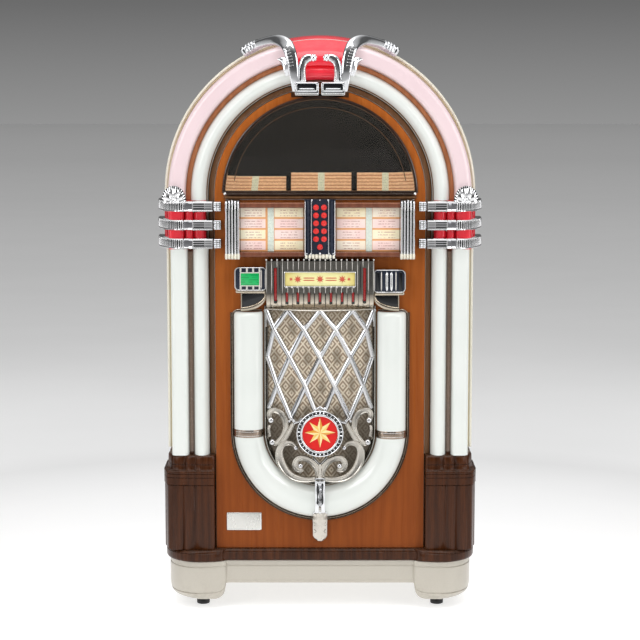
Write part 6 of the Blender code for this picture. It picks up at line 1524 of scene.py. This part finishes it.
# Scrolls of the left half: points (x, z) along each, and its widths from start to end.
SCROLLS = (
    ([(-0.1282, 0.511), (-0.1336, 0.5231), (-0.1318, 0.5355), (-0.1195, 0.5403), (-0.1030, 0.5326),
      (-0.0924, 0.5154), (-0.0904, 0.4947), (-0.0960, 0.4767), (-0.1062, 0.4625), (-0.1146, 0.4534),
      (-0.1235, 0.4505)], (0.0105, 0.0118, 0.0118, 0.0125, 0.013, 0.0128, 0.0118, 0.0112, 0.0105)),
    ([(-0.1336, 0.5012), (-0.1354, 0.4870), (-0.1326, 0.4676)], (0.0072, 0.0066, 0.0078)),
    ([(-0.0695, 0.5089), (-0.0777, 0.4922), (-0.0892, 0.4715), (-0.0994, 0.4560), (-0.1063, 0.4457)],
     (0.0092, 0.0104, 0.0112, 0.0118, 0.0125)),
    ([(-0.0645, 0.4436), (-0.0739, 0.4527), (-0.0884, 0.4540), (-0.1014, 0.4457), (-0.1078, 0.4276),
      (-0.1038, 0.4017), (-0.0894, 0.3771), (-0.0677, 0.3615), (-0.0422, 0.3563), (-0.0193, 0.3581),
      (-0.0040, 0.3628)], (0.0075, 0.0112, 0.0142, 0.0172, 0.0186, 0.018, 0.0172, 0.0155, 0.0128,
                           0.0115, 0.0115)),
    ([(-0.0458, 0.3880), (-0.0511, 0.3820), (-0.0613, 0.3851), (-0.0656, 0.3978), (-0.0600, 0.4108),
      (-0.0447, 0.4147), (-0.0269, 0.4082), (-0.0129, 0.3952), (-0.0055, 0.3784), (-0.0030, 0.3602)],
     (0.0085, 0.0122, 0.0136, 0.0132, 0.0124, 0.0122, 0.013, 0.0142, 0.0142, 0.013)),
)


def lattice_bars():
    """Straight diagonals from node to node on the bulge; the other way's pass just behind."""
    where = {(row, at): (share * CASTING_X, z)
             for row, (z, shares) in enumerate(LATTICE) for at, share in enumerate(shares)}
    where.update({(0, 0): (-0.142, 0.8085), (0, 4): (0.142, 0.8085), (4, 2): (-0.0118, 0.5385),
                  (4, 3): (0.0118, 0.5385), (4, 0): (-0.1352, 0.545), (4, 5): (0.1352, 0.545)})
    parts = []
    for diagonal in DIAGONALS:
        path = on_bulge([where[key] for key in diagonal], 60, True)
        parts += [bar(path, 0.0142, 0.0064, ROOF),
                  bar(path * [-1, 1, 1] + [0, 0.0013, 0], 0.0142, 0.0064, ROOF, paint=2)]
        for x, z in (where[key] for key in diagonal[1:-1]):
            parts += [ball((side * x, grille_y(x) - 0.0004, z), 0.0052, 0, 0.75) for side in (-1, 1)]
    return parts


def scroll_bars():
    """The scrolls, each a hollowed bar between two thin bright edges, and the beads at their ends."""
    parts = []
    for points, widths in SCROLLS:
        path = on_bulge(points, 72)
        width = varied(72, steps(0, 1, len(widths)), widths) * 1.3
        parts.append(bar(path, width, 0.0088, RIDGES, 0.003, 3))
        along = np.gradient(path[:, [0, 2]], axis=0)
        over = pairs(-along[:, 1], 0, along[:, 0]) / np.linalg.norm(along, axis=1)[:, None]
        for hand in (-0.37, 0.37):
            edge = path + over * (hand * width)[:, None] + [0, -0.0034, 0]
            parts.append(bar(edge[2:-2], 0.0021, 0.0022, 6, 0.002))
    parts += [ball((x, grille_y(x) - 0.0035, z), radius, 0, 0.75) for x, z, radius in
              ((-0.0757, 0.5195, 0.0052), (-0.0692, 0.5138, 0.0046), (-0.0805, 0.5125, 0.0036),
               (-0.1294, 0.5128, 0.0078), (-0.1261, 0.4542, 0.0082), (-0.0638, 0.4418, 0.0058),
               (-0.0514, 0.3935, 0.0068))]
    return both(parts)


def make_grille():
    """The casting: a rim with a fine line, a rail across its top, the lattice and the scrolls,
    and a stem at the foot that parts in a V."""
    around_rim = hoop_turns(0.8175, 121, U_Z, -PI)
    rim = np.array([(0.1366, -0.2874), (0.1366, -0.2935), (0.1382, -0.2968), (0.1405, -0.2985),
                    (0.1418, -0.2968), (0.1432, -0.2998), (0.1458, -0.2992), (0.1474, -0.2955),
                    (0.1474, -0.2874)])
    line = around(np.array([(0.1447, -0.3)]), *around_rim)[:, 0]
    x = steps(-0.1435, 0.1435, 60)
    rail = pairs(x, grille_y(x), 0.8075 + 0.0022 * (x / 0.1415) ** 2)
    stem = on_bulge([(0.0, 0.3385), (0.0, 0.36), (0.0, 0.38), (0.0, 0.3995)], 30, True)
    parts = [shell(around(rim, *around_rim), paint=1), bar(spaced(line, 200), 0.0016, 0.0016, 8, paint=3),
             bar(rail, 0.0056, 0.0062, half_round(12, -0.5), 0.003, 3),
             bar(stem, varied(30, [0, 0.4, 1], [0.022, 0.0145, 0.0105]), 0.0095, half_round(12, -0.5),
                 paint=3)]
    corner = on_bulge([(-0.1425, 0.806), (-0.1415, 0.785), (-0.1418, 0.762)], 12)
    vee = on_bulge([(0.0005, 0.398), (-0.0105, 0.409), (-0.019, 0.4195)], 20)
    hook = on_bulge([(-0.0465, 0.524), (-0.0545, 0.5125), (-0.0695, 0.5065)], 16)
    parts += both([bar(corner, 0.0062, 0.006, ROOF), bar(vee, 0.0062, 0.0092, ROOF, 0.003),
                   bar(hook, 0.0085, 0.0075, ROOF, 0.002)])
    piece("grille_lattice", parts + lattice_bars() + scroll_bars(),
          ["bright lattice", "dark chrome", "grey lattice", "scroll satin"], DOOR, "grille_casting", 24)


def make_bead_ring():
    """Ring round the medallion: a dark dish crossed by short bright bars between two bright
    rims, and a pointed arch that stands on its top."""
    parts = [turned([(0.0, -0.3185), (0.0608, -0.3185), (0.0618, -0.325), (0.0612, -0.3325),
                     (0.0488, -0.3335), (0.0468, -0.3325), (0.0466, -0.3305), (0.0, -0.3303)],
                    (0.0, 0.0, MEDALLION_Z), 64, paint=1)]
    t = steps(0, 2 * PI, 97)[:-1]
    for radius, width, y in ((0.0603, 0.0034, -0.3345), (0.0492, 0.0062, -0.3362)):
        parts.append(hoop(pairs(radius * np.cos(t), MEDALLION_Z + radius * np.sin(t)), y, width, 0.0052, 12))
    reach = np.array([0.0515, 0.0555, 0.0598])
    for turn in PI * 2 * (np.arange(34) + 0.5) / 34:
        path = pairs(reach * math.cos(turn), -0.3345, MEDALLION_Z + reach * math.sin(turn))
        parts.append(bar(path, 0.0042, 0.0046, 8, 0.001))
    peak = pairs([-0.0385, -0.0262, -0.0145, 0.0, 0.0145, 0.0262, 0.0385], -0.3285,
                 [0.524, 0.5352, 0.5425, 0.5545, 0.5425, 0.5352, 0.524])
    parts += [bar(peak, 0.0058, 0.0066, ROOF, 0.002),
              bar(pairs(0, -0.3282, steps(0.5395, 0.5505, 8)), steps(0.013, 0.002, 8), 0.0052, 12)]
    piece("bead_ring", parts, ["chrome", "black gloss"], DOOR)


def make_grille_cloth():
    """Cloth stretched flat behind the grille: a U-shaped sheet with faint slack between its
    edges, one thread thick on each side."""
    foot_z, half_width = 0.3383, 0.1447
    z = foot_z + (0.8166 - foot_z) * steps(0, 1, 61)[:, None]
    half = np.where(z < U_Z, np.sqrt(np.clip(half_width ** 2 - (U_Z - z) ** 2, 1e-7, None)), half_width)
    x = half * steps(-1, 1, 41)[None]
    slack = 0.0004 * np.sin(x * 60) * np.sin(z * 44) * np.clip((half - np.abs(x)) / 0.03, 0, 1)
    cloth = piece("diaper_grille_cloth", relief(pairs(x, -0.2864 - slack, z), -0.2854), "diaper cloth", DOOR,
                  "grille_cloth")


def make_medallion():
    """Red enamel dish with an eight-point star in relief, half of each point pale and half
    deep gold, a painted lit side and shaded side; the four slanting points lie behind and are paler."""
    dish = [(0.0, -0.3338)] + [(0.0461 * a, -0.3338 - 0.0004 * math.cos(a * 3)) for a in steps(0, 1, 12)[1:]]
    parts = [turned(dish + [(0.0462, -0.3315), (0.0, -0.3312)], (0, 0, MEDALLION_Z), 72)]
    waist = 0.0172
    for at in range(8):
        turn = PI / 2 + at * PI / 4
        reach, rise = (0.0385, 0.0007) if at % 2 else (0.0405, 0.0)
        # Two shades of gold, one on each facet of a point: painted light and shade.
        for side, paint in ((1, 1), (-1, 3 if at % 2 else 2)):
            edge = turn + side * PI / 8
            front = np.array([(0.0, -0.3408 + rise, 0.0),
                              (reach * math.cos(turn), -0.3352 + rise, reach * math.sin(turn)),
                              (waist * math.cos(edge), -0.3362 + rise, waist * math.sin(edge))])
            front += [0, 0, MEDALLION_Z + 0.0036]
            rear = pairs(front[:, 0], -0.3325, front[:, 2])
            parts.append(shell(np.stack([front, rear]), paint=paint))
    piece("medallion_enamel", parts, ["enamel red", "pale gold", "deep gold", "soft gold"], DOOR,
          "medallion", 15)


def make_drop():
    """Strap from the grille over the foot of the U: a bright faceted upper part under a
    stepped head, and a broad satin tip of three facets marked with chevrons. Black strips on its flanks and a
    dark bar in the head paint the chrome's dark reflections."""
    facets = np.array([(0.5, -0.6), (0.5, 0.15), (0.3, 0.62), (0.14, 0.5), (0.0, 1.0), (-0.14, 0.5),
                       (-0.3, 0.62), (-0.5, 0.15), (-0.5, -0.6)])
    z = steps(0.3655, 0.267, 34)
    y = np.interp(z, [0.267, 0.279, 0.29, 0.33, 0.3655], [-0.3255, -0.333, -0.3362, -0.3372, -0.3358])
    width = np.interp(z, [0.267, 0.274, 0.29, 0.352, 0.3655], [0.0295, 0.0262, 0.0245, 0.0262, 0.0262])
    wave = 1 + 0.16 * np.sin((0.36 - z) / 0.0155 * PI)
    parts = [bar(pairs(0, y, z), width, 0.0060 * wave, facets, 0.003)]
    # Black strips down the flanks: painted dark reflections of the chrome.
    parts += [bar(pairs(side * 0.0062, np.interp(z[5:25], z[::-1], y[::-1]) - 0.0052, z[5:25]),
                  0.0048 * (1 + 0.35 * np.sin(steps(0, 9, 20) + side)), 0.0020, 8, 0.002, 3)
              for side in (-1, 1)]
    chevron = np.array([0.003, -0.003, 0.003])
    parts += [bar(pairs([-0.0075, 0.0, 0.0075], -0.3412, chevron + middle), 0.0030, 0.0020, 8, 0.001, 3)
              for middle in (0.3265, 0.3085, 0.2925)]

    tip_z = steps(0.271, 0.1838, 48)
    tip_y = np.interp(tip_z, [0.1838, 0.2, 0.23, 0.25, 0.262, 0.271],
                      [-0.2925, -0.2962, -0.3025, -0.312, -0.3212, -0.3265])
    tip_width = np.interp(tip_z, [0.1838, 0.187, 0.1925, 0.2, 0.25, 0.262, 0.271],
                          [0.0125, 0.021, 0.0315, 0.0372, 0.0388, 0.0375, 0.0285])
    three = np.array([(0.5, -0.9), (0.5, 0.25), (0.44, 0.42), (0.27, 0.72), (0.24, 0.66), (0.0, 0.86),
                      (-0.24, 0.66), (-0.27, 0.72), (-0.44, 0.42), (-0.5, 0.25), (-0.5, -0.9)])
    parts.append(bar(pairs(0, tip_y, tip_z), tip_width, 0.0092, three, 0.004, 1))
    for middle in (0.2525, 0.2335, 0.213):
        mark_z = middle + np.array([0.0052, 0, -0.0048])
        mark_y = np.interp(mark_z, tip_z[::-1], tip_y[::-1]) - [0.0052, 0.0066, 0.0052]
        parts += [bar(spaced(pairs(side * np.array([0.0155, 0.0095, 0.0148]), mark_y, mark_z), 12), 0.0013,
                      0.0014, 6, paint=2) for side in (-1, 1)]
    # The dark chrome bar in the head paints a dark reflection between the bright ones.
    parts += [bar(pairs(steps(-0.0122, 0.0122, 7), -0.3405 + fall, middle), height, 0.0048, 8, 0.002, paint)
              for middle, height, fall, paint in ((0.3635, 0.003, 0.0, 0), (0.3585, 0.0052, 0.001, 2),
                                                  (0.3535, 0.003, 0.0, 0), (0.3465, 0.0022, 0.0004, 0))]
    parts += [ball((x, -0.3412, dot_z), 0.0017) for dot_z in (0.3425, 0.337, 0.3315)
              for x in (-0.0058, 0.0, 0.0058)]
    parts += [ball((side * 0.0152, -0.3222, 0.2665), 0.0042) for side in (-1, 1)]
    rear_z = steps(0.2485, 0.19, 12)
    parts += [block((-0.012, -0.3345, 0.2792), (0.012, BACK_Y, 0.2835), 0.001, 1),
              bar(pairs(0, np.interp(rear_z, tip_z[::-1], tip_y[::-1]) + 0.006, rear_z), 0.024, 0.0105, 10,
                  paint=1)]
    piece("drop_strap", parts, ["chrome", "scroll satin", "dark chrome", "black gloss"], DOOR, "drop_casting",
          22)


def make_plate():
    base = plate((-0.2488, -0.1562, 0.2122, 0.2598, 0.002), -0.2853, -0.2878, 0.0007)
    rim = hoop(rounded_box(-0.2462, -0.1588, 0.2148, 0.2572, 0.002), -0.288, 0.0016, 0.0012, paint=1)
    piece("bare_plate", [base, rim], ["bare plate", "bright trim"], DOOR)


def make_band_ends():
    """Short ribbed ends of the bands, on the door."""
    for label, side in SIDES.items():
        parts = []
        for low_z in (BAND_Z + BAND_STEP * np.arange(3)):
            box = (*sorted((side * 0.2575, side * 0.2782)), low_z + 0.002, low_z + 0.027, 0.0025)
            parts.append(plate(box, -0.2854, -0.3095, 0.003))
            parts += [bar(pairs(side * steps(0.2585, 0.2775, 8), -0.3092, low_z + rise + 0.002), 0.0042,
                          0.0034, 10, 0.002) for rise in (0.0065, 0.0125, 0.0185)]
            parts += [bar(pairs(side * u, -0.3102, steps(low_z + 0.003, low_z + 0.026, 8)), 0.0018, 0.0024, 8,
                          0.002, 1) for u in (0.2625, 0.2695)]
        piece(f"band_ends_{label}", parts, ["chrome", "dark chrome"], DOOR)


def grey_ramp(value, stops):
    """A grey that follows a value through (position, grey) stops."""
    made = add_node(value.tree, "ShaderNodeValToRGB", {0: value})
    elements = made.socket.node.color_ramp.elements
    while len(elements) < len(stops):
        elements.new(0.5)
    for element, (position, _) in zip(elements, stops):
        element.position = position
    for element, (_, grey) in zip(elements, stops):
        element.color = (grey, grey, grey, 1.0)
    return made


def make_floor():
    """A wide plain floor with painted light: mid grey near the part and paler beyond, with a glow
    that lifts it to white in front, fills in the part's shadow and fades with distance."""
    far = 60.0
    mesh = bpy.data.meshes.new("floor")
    mesh.from_pydata([(-far, -far, 0), (far, -far, 0), (far, far, 0), (-far, far, 0)], [], [(0, 1, 2, 3)])
    floor = bpy.data.objects.new("floor", mesh)
    scene.collection.objects.link(floor)
    shader, place = start_finish("floor paint", None, (204, 204, 204), 0.6)
    away = add_node(place.tree, "ShaderNodeVectorMath", {0: place}, "Value", operation="LENGTH")
    # Painted light: the floor's grey changes with distance from the part.
    fade = grey_ramp(away / far, ((0.0, 0.58), (0.014, 0.6), (0.034, 0.9), (0.1, 0.93), (0.165, 0.83),
                                  (0.3, 0.69), (0.5, 0.58), (1.0, 0.48)))
    feed(shader, blend(place.noise(1.5) * 0.06, fade, (120, 120, 120)))
    # Painted light: a glow round the part that fills in its shadow on the floor.
    glow = away.ramp(1.87, 0.6, 0.0, 0.64)
    fill(shader.inputs["Emission Color"], blend(glow, (0, 0, 0, 1), (1, 1, 1, 1)))
    shader.inputs["Emission Strength"].default_value = 1.0
    mesh.materials.append(FINISHES["floor paint"][0])


def make_sky():
    """A studio sky: brightest above, darker at the level of the eye."""
    world = bpy.data.worlds.new("studio")
    scene.world = world
    world.use_nodes = True
    place = add_node(world.node_tree, "ShaderNodeTexCoord", {}, "Generated")
    level = place.axis("Z").math("MULTIPLY_ADD", 0.5)
    sky = world.node_tree.nodes["Background"]
    fill(sky.inputs["Color"], grey_ramp(level, ((0.0, 0.3), (0.488, 0.30), (0.5, 0.245), (0.522, 0.14),
                                                (0.56, 0.1), (0.72, 0.12), (0.86, 0.56), (1.0, 1.25))))
    sky.inputs["Strength"].default_value = 1.0


def make_lamp(name, place, aim, size, power, mirrored=True):
    """A rectangular softbox that points its -Z from its place to its aim."""
    data = bpy.data.lights.new(name, "AREA")
    data.shape, data.size, data.size_y, data.energy = "RECTANGLE", *size, power
    lamp = bpy.data.objects.new(name, data)
    x, y, z = (a - b for a, b in zip(aim, place))
    lamp.location = place
    lamp.rotation_euler = (math.atan2(math.hypot(x, y), -z), 0.0, math.atan2(y, x) - PI / 2)
    lamp.visible_glossy = mirrored
    scene.collection.objects.link(lamp)


def make_camera():
    view = bpy.data.cameras.new("front camera")
    view.lens, view.sensor_width, view.clip_end = 107.75, 36.0, 100.0
    camera = bpy.data.objects.new("front camera", view)
    camera.location = (0.0, -5.30, 1.40)
    camera.rotation_euler = (math.radians(82.927), 0.0, 0.0)
    scene.collection.objects.link(camera)
    scene.camera = camera
    scene.view_settings.view_transform = "Standard"


for make in (make_finishes, make_cabinet, make_plastics, make_keystone, make_arch_trim, make_bands,
             make_crown, make_pilasters, make_plinth, make_skirt, make_window, make_title_pages, make_rack,
             make_cards, make_brackets, make_keypad, make_escutcheon, make_name_window, make_housings,
             make_corbels, make_u_plastic, make_grille, make_bead_ring, make_grille_cloth, make_medallion,
             make_drop, make_plate, make_band_ends, make_floor, make_sky, make_camera):
    make()
make_lamp("key softbox", (-2.6, -3.4, 2.6), (0, -0.2, 0.8), (1.6, 2.4), 45)
make_lamp("fill softbox", (2.8, -3.0, 2.2), (0, -0.2, 0.8), (1.4, 2.4), 37)
make_lamp("top softbox", (0, -1.6, 4.2), (0, 0, 0.9), (3.0, 2.0), 50)
make_lamp("low front light", (0, -5.0, 0.7), (0, 0, 0.5), (3.2, 0.9), 17, False)
for label, side in SIDES.items():
    make_lamp(f"{label} strip light", (side * 3.1, -1.5, 1.3), (0, -0.2, 1.0), (0.5, 2.8), 13)
    make_lamp(f"back light {label}", (side * 2.8, 2.6, 2.6), (0, 0, 0.9), (1.4, 2.0), 24, False)
